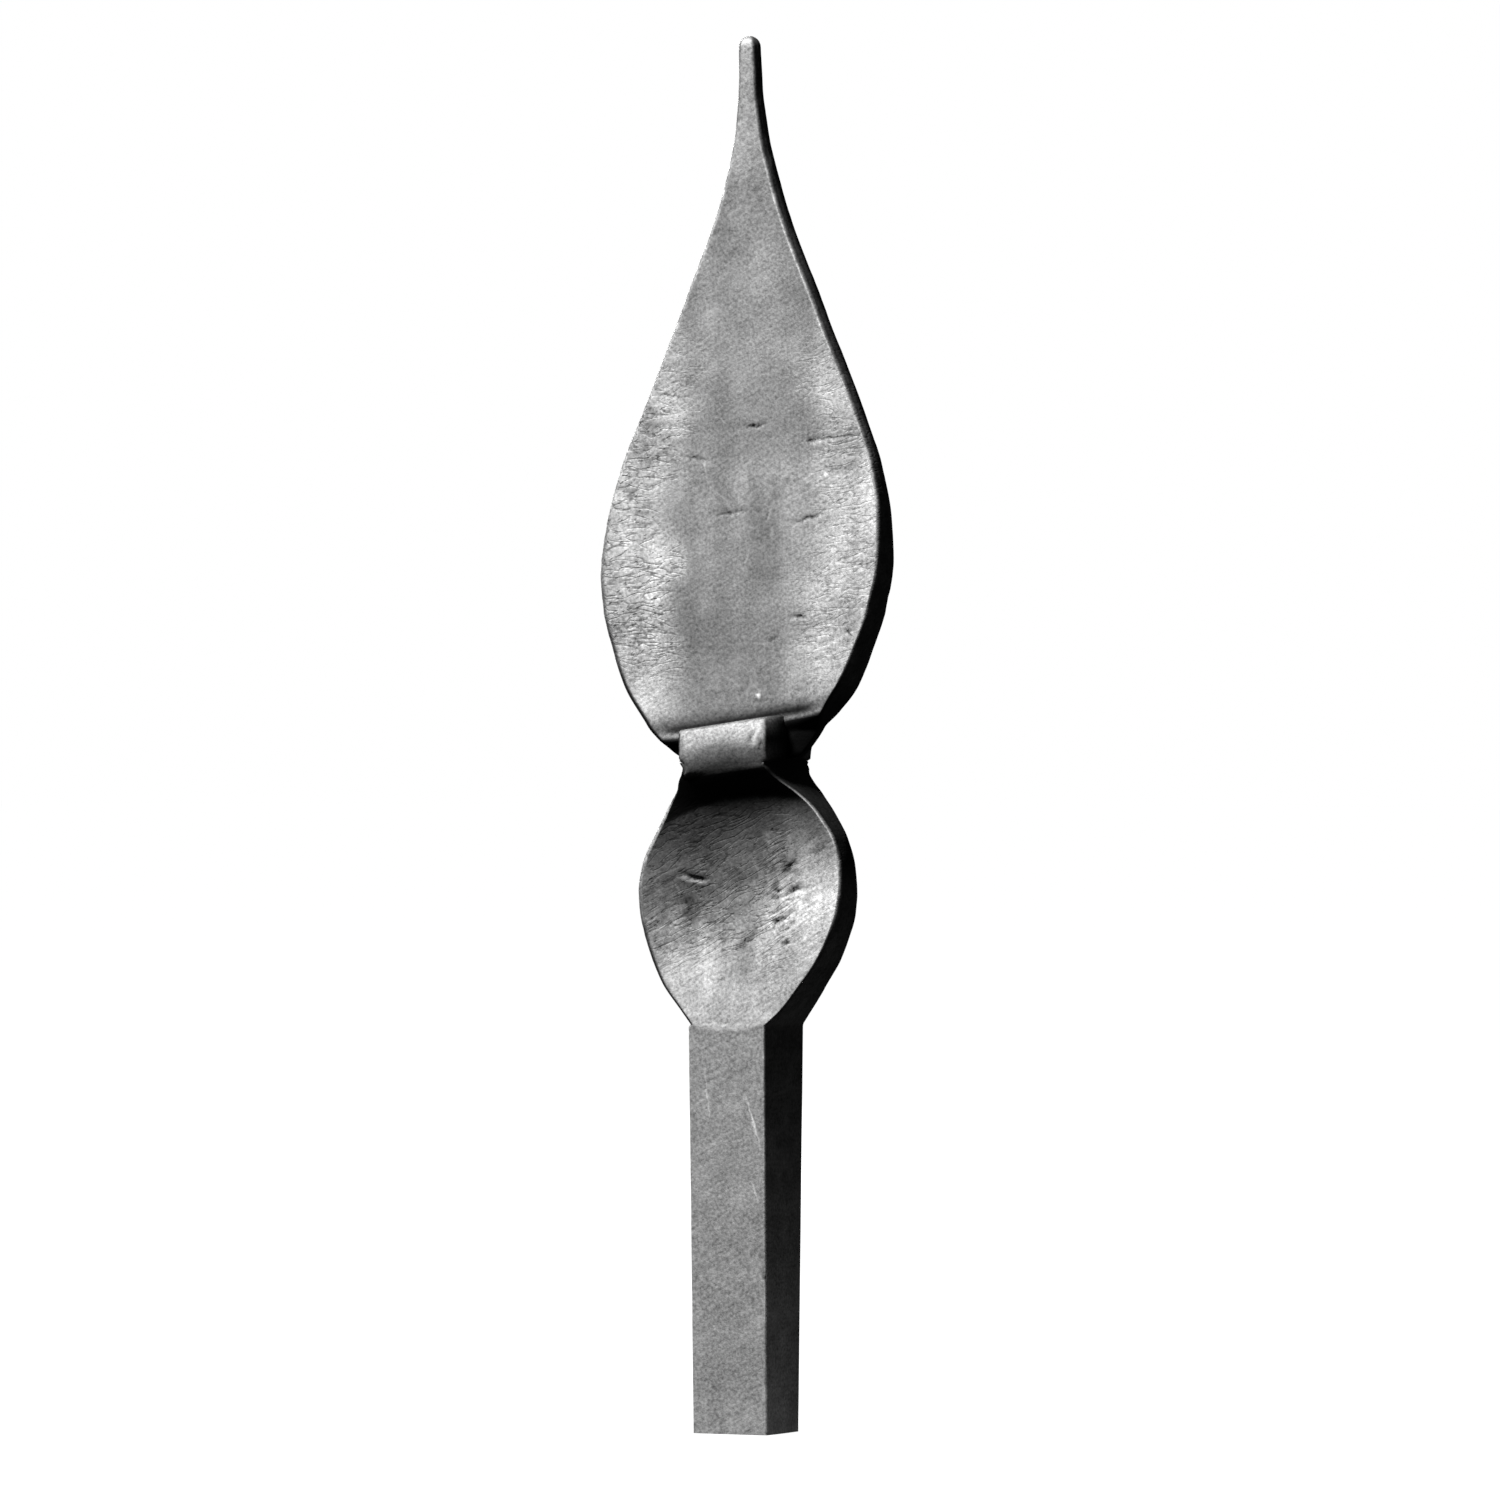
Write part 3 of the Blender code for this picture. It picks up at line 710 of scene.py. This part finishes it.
def relief(x, z, settings, seed):
    """How far the hammered surface stands off the plain form, in metres, at points in metres.

    It also gives how bright (1) or scale-dark (0) each point is, with its painted light and shade, how
    creased the iron is there, and the height of its flow line.
    """
    x, z = x / MM, z / MM
    creased, spread = spread_zone(x, z)
    creases = wrinkles(x, z, seed) * creased
    broad, streaks = hammer_marks(x, z, seed)
    pits, dents = pits_and_dents(x, z, creased, seed)
    marks = np.zeros_like(x)
    if seed == FRONT_SEED:
        for *line, width, depth, _ in FRONT_MARKS:
            marks += mark(x, z, *line, width, depth)
    rise = settings.hammer_depth * (broad + 0.6 * streaks) - settings.wrinkle_depth * creases
    rise = rise - settings.pit_depth * (pits + 2.0 * dents) - marks * MM
    on_block = (z >= BLOCK_FACE_FOOT) & (z < GROOVE_LINE) & (np.abs(x) < BLOCK_FACE_REACH)
    rise = np.where(on_block, rise * 0.6, rise)
    worn = 0.20 * broad - 0.24 * creases - 0.5 * pits - 0.5 * dents - 0.7 * marks + 0.25 * streaks
    bright = surface_tone(x, z, spread, np.clip(worn, -0.8, 0.6), seed)
    return rise, bright, creased, flow_level(x, z) * MM


def edge_radius(row_z, here, side):
    """Radius of the edge along a side: the left edge was worked rounder than the right one."""
    from_waist = np.clip(np.abs(row_z - WAIST_Z) / BLOCK_RISE, 0.0, 1.0)
    rounder = here["radius"] * (1 + (LEFT_EDGE_SHARE - 1) * from_waist)
    rounder = np.minimum(rounder, np.minimum(here["rim"] * 0.7, here["half_width"] * 0.6))
    return np.where((row_z < SHANK_LENGTH) | (side > 0), here["radius"], rounder)


def side_edge(row_z, side):
    """Where each row meets the side, the radius of the edge there, and the row's middle line."""
    tilt = tilt_at(row_z)
    edge = np.full_like(row_z, side * BAR_WIDTH / 2)
    for _ in range(6):
        here = section(row_z + tilt * edge)
        edge = here["centre"] + side * here["half_width"]
    radius = edge_radius(row_z, section(row_z + tilt * edge), side)
    beside_block = np.clip(1 - np.abs(row_z - CREST_Z) / BLOCK_RISE, 0.0, 1.0)
    centre = section(row_z)["centre"] * (1 - beside_block ** 0.5)
    wobble = EDGE_WOBBLE * (lumps(row_z / MM / 6.0, np.full_like(row_z, 3.5 + side), 77) - 1) / 2
    edge = edge + side * wobble * ease(*ABOVE_SHOULDER, row_z)
    return edge, radius, centre


def column_ways(row_z, reach):
    """Distances of each row's columns from its middle line, and the width of the block's bevel.

    Beside the block the columns keep to its edge, so that it stays crisp. Away from it they even out.
    """
    away = ease(4 * MM, 16 * MM, np.abs(row_z - CREST_Z))
    shared = reach * BLOCK_COLUMNS / (BLOCK_COLUMNS + OUTER_COLUMNS)
    block_edge = np.minimum(BLOCK_WIDTH / 2, reach * 0.95)
    block_edge = block_edge * (1 - away) + shared * away
    bevel = np.minimum(BLOCK_EDGE_RADIUS, block_edge / 8)
    outer = block_edge + np.minimum(BLOCK_EDGE_RADIUS / 2, (reach - block_edge) / 3)
    inner_steps = np.arange(BLOCK_COLUMNS) / BLOCK_COLUMNS
    bevel_steps = np.linspace(0, 1, BEVEL_COLUMNS)
    outer_steps = np.arange(OUTER_COLUMNS + 1) / OUTER_COLUMNS
    ways = np.concatenate((
        (block_edge - 2 * bevel)[:, None] * inner_steps,
        block_edge[:, None] - 2 * bevel[:, None] * (1 - bevel_steps) ** 1.5,
        outer[:, None] + (reach - outer)[:, None] * outer_steps,
    ), axis=1)
    return ways, bevel


def block_depth(row_z, ways, bevel):
    """Half-depth of the neck block at each column: its face, its bevel, and nothing beyond its edge."""
    depth = np.repeat(block_face(row_z)[:, None], ways.shape[1], axis=1)
    first_outer = BLOCK_COLUMNS + BEVEL_COLUMNS
    depth[:, BLOCK_COLUMNS:first_outer] -= bevel[:, None] * np.linspace(0, 1, BEVEL_COLUMNS) ** 2
    within = ways[:, first_outer:] <= BLOCK_WIDTH / 2
    depth[:, first_outer:] = np.where(within, depth[:, first_outer:] - bevel[:, None], 0.0)
    return depth


def side_wall(row_z, side, edge, radius, rim):
    """Points round the edge and across the lightly crowned, rough wall, to the middle of the side."""
    edge, rim = edge[:, None], rim[:, None]
    radius = np.minimum(radius[:, None], rim * 0.7)
    crown = radius * WALL_CROWN
    turns = np.pi / 2 * np.arange(1, CORNER_STEPS + 1) / CORNER_STEPS
    steps = 1 - np.arange(1, SIDE_STEPS + 1) / SIDE_STEPS
    corner_x = edge - side * (crown * np.sin(turns) + radius * (1 - np.sin(turns)))
    x = np.concatenate((corner_x, edge - side * crown * steps ** 2), axis=1)
    y = np.concatenate((rim - radius * (1 - np.cos(turns)), (rim - radius) * steps), axis=1)
    z = row_z[:, None] + tilt_at(row_z)[:, None] * x
    rough = WALL_ROUGHNESS * lumps(y / MM / 2.5 + 40 * side, z / MM / 3.5, 55)
    x = x - side * np.abs(rough) * ease(*ABOVE_SHOULDER, z) * (y < rim - 0.2 * MM)
    return np.stack((x, y, z), axis=-1)


def side_tone(row_z, edge, wall):
    """How bright the edge and the wall are: the bar's edges are rubbed, the edges above have painted light
    where they face up and painted shade where they face down or by the neck, and the wall is dark scale with
    painted shade.
    """
    up = row_z / MM
    widening = np.gradient(np.abs(edge), row_z)
    # Painted light on edges that face up, painted shade on edges that face down
    turned_up = np.clip(LEVEL_EDGE_TONE - 0.68 * widening, 0.02, 0.8)
    edge_wear_and_painted_light = np.where(row_z < SHANK_LENGTH, BAR_EDGE_TONE, turned_up)
    # Painted shade on the edges beside the neck
    edge_wear_and_painted_light = edge_wear_and_painted_light * (1 - NECK_EDGE_SHADE * between(*NECK_EDGE_SPAN, up))
    # Dark scale on the wall, with painted shade higher up and beside the neck
    dark = WALL_TONE - WALL_SHADE * ease(*WALL_SHADE_FROM, up)
    dark -= NECK_WALL_SHADE * between(*NECK_WALL_SPAN, up)
    onto_wall = np.concatenate((np.linspace(0.35, 1.0, CORNER_STEPS) ** 2, np.ones(SIDE_STEPS)))
    tone = edge_wear_and_painted_light[:, None] * (1 - onto_wall) + dark[:, None] * onto_wall
    return tone * (1 + 0.3 * lumps(wall[..., 1] / MM / 1.5, wall[..., 2] / MM / 2.0, 56))


def quarter(row_z, side, seed, settings):
    """Points from the middle of the front or back face round to the middle of one side, for every row.

    Depths are positive here. The points come with their brightness, creasing and flow line.
    """
    edge, radius, centre = side_edge(row_z, side)
    ways, bevel = column_ways(row_z, np.abs(edge - centre) - radius)
    x = centre[:, None] + side * ways
    z = row_z[:, None] + tilt_at(row_z)[:, None] * x
    plain = face_depth(x, z, np.broadcast_to(row_z[:, None], x.shape))
    rise, bright, creased, flow = relief(x, z, settings, seed)
    depth = np.maximum(plain, block_depth(row_z, ways, bevel)) + rise
    wall = side_wall(row_z, side, edge, radius, depth[:, -1])
    points = np.concatenate((np.stack((x, depth, z), axis=-1), wall), axis=1)
    bright = np.concatenate((bright, side_tone(row_z, edge, wall)), axis=1)
    creased = np.concatenate((creased, np.repeat(creased[:, -1:], wall.shape[1], axis=1)), axis=1)
    flow = np.concatenate((flow, wall[..., 2]), axis=1)
    return points, np.stack((bright, creased, flow), axis=-1)


def row_heights():
    """Heights of the rows, with one at each edge of the neck block."""
    def spread(low, high, height):
        return np.linspace(low, high, max(2, round((high - low) / height)), endpoint=False)

    bevel = BLOCK_TOP_Z - BLOCK_EDGE_RADIUS * np.array([1.0, 0.75, 0.5, 0.25, 0.0])
    return np.concatenate((
        spread(0.0, SHANK_LENGTH - 3 * MM, SHANK_ROW),
        spread(SHANK_LENGTH - 3 * MM, WAIST_Z, WORKED_ROW),
        spread(WAIST_Z, BLOCK_TOP_Z - BLOCK_EDGE_RADIUS, WORKED_ROW),
        bevel,
        spread(BLOCK_TOP_Z + GROOVE_HEIGHT / 6, TIP_Z - TIP_WIDTH / 2, WORKED_ROW),
        [TIP_Z - TIP_WIDTH / 2],
    ))


def join_quarters(row_z, settings):
    """Puts the four quarters together into one closed loop of points for every row."""
    loops, traits = [], []
    for side, seed, reverse in QUARTERS:
        points, trait = quarter(row_z, side, seed, settings)
        facing = -1 if seed == FRONT_SEED else 1
        points = points * (1, facing, 1)
        if reverse:
            points, trait = points[:, ::-1], trait[:, ::-1]
        loops.append(points[:, :-1])
        traits.append(trait[:, :-1])
    return np.concatenate(loops, axis=1), np.concatenate(traits, axis=1)


def tip_rows(ring):
    """Rounds the end of the tip: smaller and smaller copies of the last loop, up to a small flat."""
    middle = ring.mean(axis=0)
    radius = TIP_Z - middle[2]
    rings = []
    for step in range(1, TIP_STEPS + 1):
        turn = math.pi / 2 * step / (TIP_STEPS + 0.8)
        small = ring.copy()
        small[:, 0] = middle[0] + (ring[:, 0] - middle[0]) * math.cos(turn)
        small[:, 1] = ring[:, 1] * math.cos(turn)
        small[:, 2] = middle[2] + radius * math.sin(turn)
        rings.append(small)
    return np.array(rings)


def forging_mesh(settings):
    """The fine mesh of the whole forging, with each point's brightness, creasing and flow line."""
    row_z = row_heights()
    loops, traits = join_quarters(row_z, settings)
    loops[-1, :, 2] = row_z[-1]
    loops = np.concatenate((loops, tip_rows(loops[-1])))
    traits = np.concatenate((traits, np.repeat(traits[-1:], TIP_STEPS, axis=0)))
    loops = np.clip(loops, CAD_LOW, CAD_HIGH)
    rows, around = loops.shape[:2]
    numbers = np.arange(rows * around).reshape(rows, around)
    onward = np.roll(numbers, -1, axis=1)
    quads = np.stack((numbers[:-1], onward[:-1], onward[1:], numbers[1:]), axis=-1).reshape(-1, 4)
    faces = quads.tolist() + [numbers[0, ::-1].tolist(), numbers[-1].tolist()]
    mesh = bpy.data.meshes.new(PIECE)
    mesh.from_pydata(loops.reshape(-1, 3).tolist(), [], faces)
    for number, name in enumerate(("bright", "worked", "flow")):
        attribute = mesh.attributes.new(name, "FLOAT", "POINT")
        attribute.data.foreach_set("value", traits[..., number].ravel().astype(np.float32))
    mesh.validate()
    mesh.shade_smooth()
    mesh.set_sharp_from_angle(angle=math.radians(60))
    return mesh


def add_node(tree, kind, place, inputs=None, output=0, **settings):
    """Adds a node, links or sets its named or numbered inputs, and gives the output asked for."""
    node = tree.nodes.new(kind)
    node.location = place
    for name, value in settings.items():
        setattr(node, name, value)
    for key, value in (inputs or {}).items():
        if isinstance(value, bpy.types.NodeSocket):
            tree.links.new(value, node.inputs[key])
        else:
            node.inputs[key].default_value = value
    return node.outputs[output]


def calculate(tree, place, operation, *values):
    """Adds a math node that works on the values, and gives its result."""
    return add_node(tree, "ShaderNodeMath", place, dict(enumerate(values)), operation=operation)


def noise(tree, place, where, scale=1.0, detail=1.0, roughness=0.5, distortion=0.0):
    """Adds a noise texture and gives its value."""
    return add_node(tree, "ShaderNodeTexNoise", place, {
        "Vector": where, "Scale": scale, "Detail": detail, "Roughness": roughness, "Distortion": distortion,
    }, output="Fac")


def drawn_marks(tree, where):
    """Draws the front's cracks, dents and scratches: how dark each makes its place, with ragged sides."""
    ragged = add_node(tree, "ShaderNodeTexNoise", (-2600, -1200), {
        "Vector": where, "Scale": 1 / (1.2 * MM), "Detail": 2.0,
    }, output="Color")
    moved = add_node(tree, "ShaderNodeVectorMath", (-2400, -1200), {
        0: ragged, 1: (RAGGED, 0.0, RAGGED), 2: where,
    }, operation="MULTIPLY_ADD")
    total = 0.0
    for number, (from_x, from_z, to_x, to_z, width, _, dark) in enumerate(FRONT_MARKS):
        half = math.hypot(to_x - from_x, to_z - from_z) / 2
        middle = Vector((from_x + to_x, 0.0, from_z + to_z)) * MM / 2
        across = add_node(tree, "ShaderNodeMapping", (-2200, -1200 - 40 * number), {
            "Vector": moved,
            "Location": middle + Vector((RAGGED, 0.0, RAGGED)) / 2,
            "Rotation": (0.0, -math.atan2(to_z - from_z, to_x - from_x), 0.0),
            "Scale": ((half + width) * MM, 1.0, 1.5 * width * MM),
        }, output="Vector", vector_type="TEXTURE")
        shape = add_node(tree, "ShaderNodeTexGradient", (-2000, -1200 - 40 * number), {
            "Vector": across,
        }, output="Fac", gradient_type="SPHERICAL")
        total = calculate(tree, (-1800, -1200 - 40 * number), "MULTIPLY_ADD", shape, 1.6 * dark, total)
    facing = add_node(tree, "ShaderNodeTexCoord", (-2000, -1100), output="Normal")
    facing = add_node(tree, "ShaderNodeSeparateXYZ", (-1800, -1100), {0: facing}, output="Y")
    front = calculate(tree, (-1600, -1100), "LESS_THAN", facing, -0.4)
    return calculate(tree, (-1400, -1200), "MULTIPLY", total, front)


def flow_creases(tree, where, flow):
    """Creases along the flow lines: -1 in a fine dark wavy line and 0 beside it, a millimetre apart."""
    split = add_node(tree, "ShaderNodeSeparateXYZ", (-1800, -300), {0: where}).node.outputs
    along = add_node(tree, "ShaderNodeCombineXYZ", (-1650, -300), {0: split[0], 1: split[1], 2: flow})
    drawn = add_node(tree, "ShaderNodeMapping", (-1500, -300), {
        "Vector": along, "Scale": (1 / (4.4 * MM), 1 / (4 * MM), 1 / (1.15 * MM)),
    }, output="Vector")
    wave = noise(tree, (-1300, -300), drawn, detail=0.8, distortion=0.25)
    away = calculate(tree, (-1150, -300), "SUBTRACT", wave, 0.5)
    away = calculate(tree, (-1050, -300), "ABSOLUTE", away)
    crease = add_node(tree, "ShaderNodeMapRange", (-950, -300), {
        "Value": away, "From Min": 0.0, "From Max": 0.075, "To Min": -1.0, "To Max": 0.0,
    }, interpolation_type="SMOOTHSTEP")
    # The creases come in patches and are faint between them
    patch = noise(tree, (-1300, -420), drawn, scale=0.45)
    amount = add_node(tree, "ShaderNodeMapRange", (-950, -420), {
        "Value": patch, "From Min": 0.36, "From Max": 0.52, "To Min": 0.25, "To Max": 1.0,
    })
    return calculate(tree, (-800, -300), "MULTIPLY", crease, amount)


def pit_ticks(tree, where):
    """Small pits drawn out by the hammer: -1 in ticks 1.5 mm long that climb to the right, else 0."""
    turned = add_node(tree, "ShaderNodeMapping", (-1500, -900), {
        "Vector": where, "Rotation": (0.0, math.radians(-28), 0.0), "Scale": (1.5 * MM, 3 * MM, 0.7 * MM),
    }, output="Vector", vector_type="TEXTURE")
    return add_node(tree, "ShaderNodeMapRange", (-1100, -900), {
        "Value": noise(tree, (-1300, -900), turned),
        "From Min": 0.61, "From Max": 0.70, "To Min": 0.0, "To Max": -1.0,
    }, interpolation_type="SMOOTHSTEP")


def brush_lines(tree, where):
    """Marks of the wire brush: fine lines 0.5 mm apart that climb to the right at about 30 degrees."""
    turned = add_node(tree, "ShaderNodeMapping", (-1500, -600), {
        "Vector": where, "Rotation": (0.0, math.radians(-30), 0.0), "Scale": (6 * MM, 3 * MM, 0.5 * MM),
    }, output="Vector", vector_type="TEXTURE")
    return noise(tree, (-1300, -600), turned, detail=2.0, roughness=0.6)


def brushed_forged_iron(settings):
    """Wrought iron, forged hot and wire brushed when cold.

    The brush brings the high places to a soft grey shine, while dark scale stays in the wrinkles and the
    pits, and the recess around the block has painted shade. The creased zones are a little rougher.
    """
    material = bpy.data.materials.new("brushed_forged_iron")
    material.use_nodes = True
    tree = material.node_tree
    shader = tree.nodes["Principled BSDF"]
    shader.inputs["Metallic"].default_value = 1.0
    where = add_node(tree, "ShaderNodeTexCoord", (-2000, 0), output="Object")
    bright = add_node(tree, "ShaderNodeAttribute", (-2000, 300), output="Fac", attribute_name="bright")
    worked = add_node(tree, "ShaderNodeAttribute", (-2000, 500), output="Fac", attribute_name="worked")
    flow = add_node(tree, "ShaderNodeAttribute", (-2000, -300), output="Fac", attribute_name="flow")

    # Grain of the scale: specks about 0.6 mm across
    grain = noise(tree, (-1300, 100), where, scale=1 / (0.6 * MM), detail=3.0, roughness=0.65)
    # Clouds of heavier and lighter scale: about 9 mm across
    clouds = noise(tree, (-1300, -100), where, scale=1 / (9 * MM), detail=4.0, roughness=0.6)
    lines = brush_lines(tree, where)
    folds = calculate(tree, (-700, -300), "ADD", pit_ticks(tree, where), flow_creases(tree, where, flow))
    folds = calculate(tree, (-600, -300), "MULTIPLY", folds, worked)
    marks = drawn_marks(tree, where)

    # Tone: the brightness of each place times the sum of the patterns, which is about 1 on average
    total = -0.8
    patterns = ((grain, 2.0), (clouds, 0.9), (lines, 0.7), (folds, 0.30), (marks, -0.6))
    for number, (pattern, strength) in enumerate(patterns):
        total = calculate(tree, (-1000 + 100 * number, 100), "MULTIPLY_ADD", pattern, strength, total)
    tone = calculate(tree, (-400, 200), "MULTIPLY", bright, total)
    colour = add_node(tree, "ShaderNodeMix", (-250, 200), {
        "Factor": tone, "A": (*settings.scale, 1.0), "B": (*settings.iron, 1.0),
    }, output="Result", data_type="RGBA", clamp_factor=True)
    tree.links.new(colour, shader.inputs["Base Color"])

    rough = calculate(tree, (-400, -50), "MULTIPLY_ADD", worked, 0.08, settings.roughness)
    tree.links.new(rough, shader.inputs["Roughness"])

    height = calculate(tree, (-700, -450), "MULTIPLY_ADD", lines, 0.25, grain)
    height = calculate(tree, (-550, -450), "MULTIPLY_ADD", folds, 1.1, height)
    bump = add_node(tree, "ShaderNodeBump", (-300, -300), {
        "Height": height, "Strength": 0.5, "Distance": 0.12 * MM,
    })
    tree.links.new(bump, shader.inputs["Normal"])
    return material


def pale_surface(name, colour, glow):
    """Matt white paint, evenly lit: it reads as plain white paper with hardly any shadow."""
    material = bpy.data.materials.new(name)
    material.use_nodes = True
    shader = material.node_tree.nodes["Principled BSDF"]
    shader.inputs["Base Color"].default_value = (0.08, 0.08, 0.08, 1.0)
    shader.inputs["Roughness"].default_value = 1.0
    shader.inputs["Specular IOR Level"].default_value = 0.0
    shader.inputs["Emission Color"].default_value = (*colour, 1.0)
    shader.inputs["Emission Strength"].default_value = glow
    return material


def only_for_camera(thing):
    """The white floor is seen, and neither lights the iron nor shows in it."""
    thing.visible_diffuse = False
    thing.visible_glossy = False
    thing.visible_transmission = False
    thing.visible_shadow = False


def white_studio(colour):
    """Surroundings that look white, while only a faint even light reaches the iron from them."""
    world = bpy.data.worlds.new("studio")
    world.use_nodes = True
    tree = world.node_tree
    faint = tree.nodes["Background"]
    faint.inputs["Color"].default_value = (FAINT_GREY, FAINT_GREY, FAINT_GREY, 1.0)
    seen = add_node(tree, "ShaderNodeBackground", (0, -200), {"Color": (*colour, 1.0), "Strength": 1.0})
    to_camera = add_node(tree, "ShaderNodeLightPath", (0, 300), output="Is Camera Ray")
    both = add_node(tree, "ShaderNodeMixShader", (200, 0), {0: to_camera, 1: faint.outputs[0], 2: seen})
    tree.links.new(both, tree.nodes["World Output"].inputs["Surface"])
    return world


def soft_light(name, target, direction, distance, size, power):
    """A round soft light that faces a target from a direction."""
    target = Vector(target)
    away = Vector(direction).normalized()
    data = bpy.data.lights.new(name, "AREA")
    data.shape = "DISK"
    data.size = size
    data.energy = power
    light = bpy.data.objects.new(name, data)
    light.location = target + away * distance
    light.rotation_euler = (-away).to_track_quat("-Z", "Y").to_euler()
    bpy.context.scene.collection.objects.link(light)


class FINIAL_OT_forging(bpy.types.Operator):
    """Build the hammered surface of the forging"""

    bl_idname = "finial.forging"
    bl_label = "Forging"

    def execute(self, context):
        settings = context.scene.finial_forging
        piece = bpy.data.objects.new(PIECE, forging_mesh(settings))
        context.scene.collection.objects.link(piece)
        piece.data.materials.append(brushed_forged_iron(settings))
        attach(piece, BODY)
        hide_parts(NODE)
        return {"FINISHED"}


class FINIAL_OT_stage(bpy.types.Operator):
    """Set up the floor, the backdrop, the lights and the camera"""

    bl_idname = "finial.stage"
    bl_label = "Stage"

    def execute(self, context):
        settings = context.scene.finial_stage
        scene = context.scene
        scene.view_settings.view_transform = "Standard"

        bpy.ops.mesh.primitive_plane_add(size=40.0, location=(0.0, 0.0, 0.0))
        floor = context.object
        floor.name = "floor"
        floor.data.materials.append(pale_surface("white_floor", settings.floor, 1.0))
        only_for_camera(floor)
        floor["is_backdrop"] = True
        scene.world = white_studio(settings.floor)

        for name, *placing in LIGHTS:
            soft_light(name, *placing, getattr(settings, name + "_power"))

        angle = settings.view_angle
        aim_right, aim_up = CAMERA_AIM
        target = Vector((aim_right * math.cos(angle), aim_right * math.sin(angle), aim_up))
        data = bpy.data.cameras.new("camera")
        data.sensor_width = 36.0
        data.lens = data.sensor_width * settings.distance / settings.frame_width
        camera = bpy.data.objects.new("camera", data)
        away = Vector((math.sin(angle), -math.cos(angle), 0.0))
        camera.location = target + away * settings.distance
        camera.rotation_euler = (-away).to_track_quat("-Z", "Y").to_euler()
        scene.collection.objects.link(camera)
        scene.camera = camera
        return {"FINISHED"}


class FINIAL_PT_sidebar(bpy.types.Panel):
    """The finial's pieces and settings"""

    bl_idname = "FINIAL_PT_sidebar"
    bl_label = "Fence Finial"
    bl_space_type = "VIEW_3D"
    bl_region_type = "UI"
    bl_category = "Finial"

    def draw(self, context):
        scene = context.scene
        parts = ((scene.finial_forging, FINIAL_OT_forging), (scene.finial_stage, FINIAL_OT_stage))
        for settings, operator in parts:
            box = self.layout.box()
            for name in settings.__annotations__:
                box.prop(settings, name)
            box.operator(operator.bl_idname)


CLASSES = (FinialForgingSettings, FinialStageSettings, FINIAL_OT_forging, FINIAL_OT_stage, FINIAL_PT_sidebar)


def register():
    for one in CLASSES:
        bpy.utils.register_class(one)
    bpy.types.Scene.finial_forging = PointerProperty(type=FinialForgingSettings)
    bpy.types.Scene.finial_stage = PointerProperty(type=FinialStageSettings)


def unregister():
    del bpy.types.Scene.finial_stage
    del bpy.types.Scene.finial_forging
    for one in reversed(CLASSES):
        bpy.utils.unregister_class(one)


def main():
    register()
    bpy.ops.finial.forging()
    bpy.ops.finial.stage()


if __name__ == "__main__":
    main()
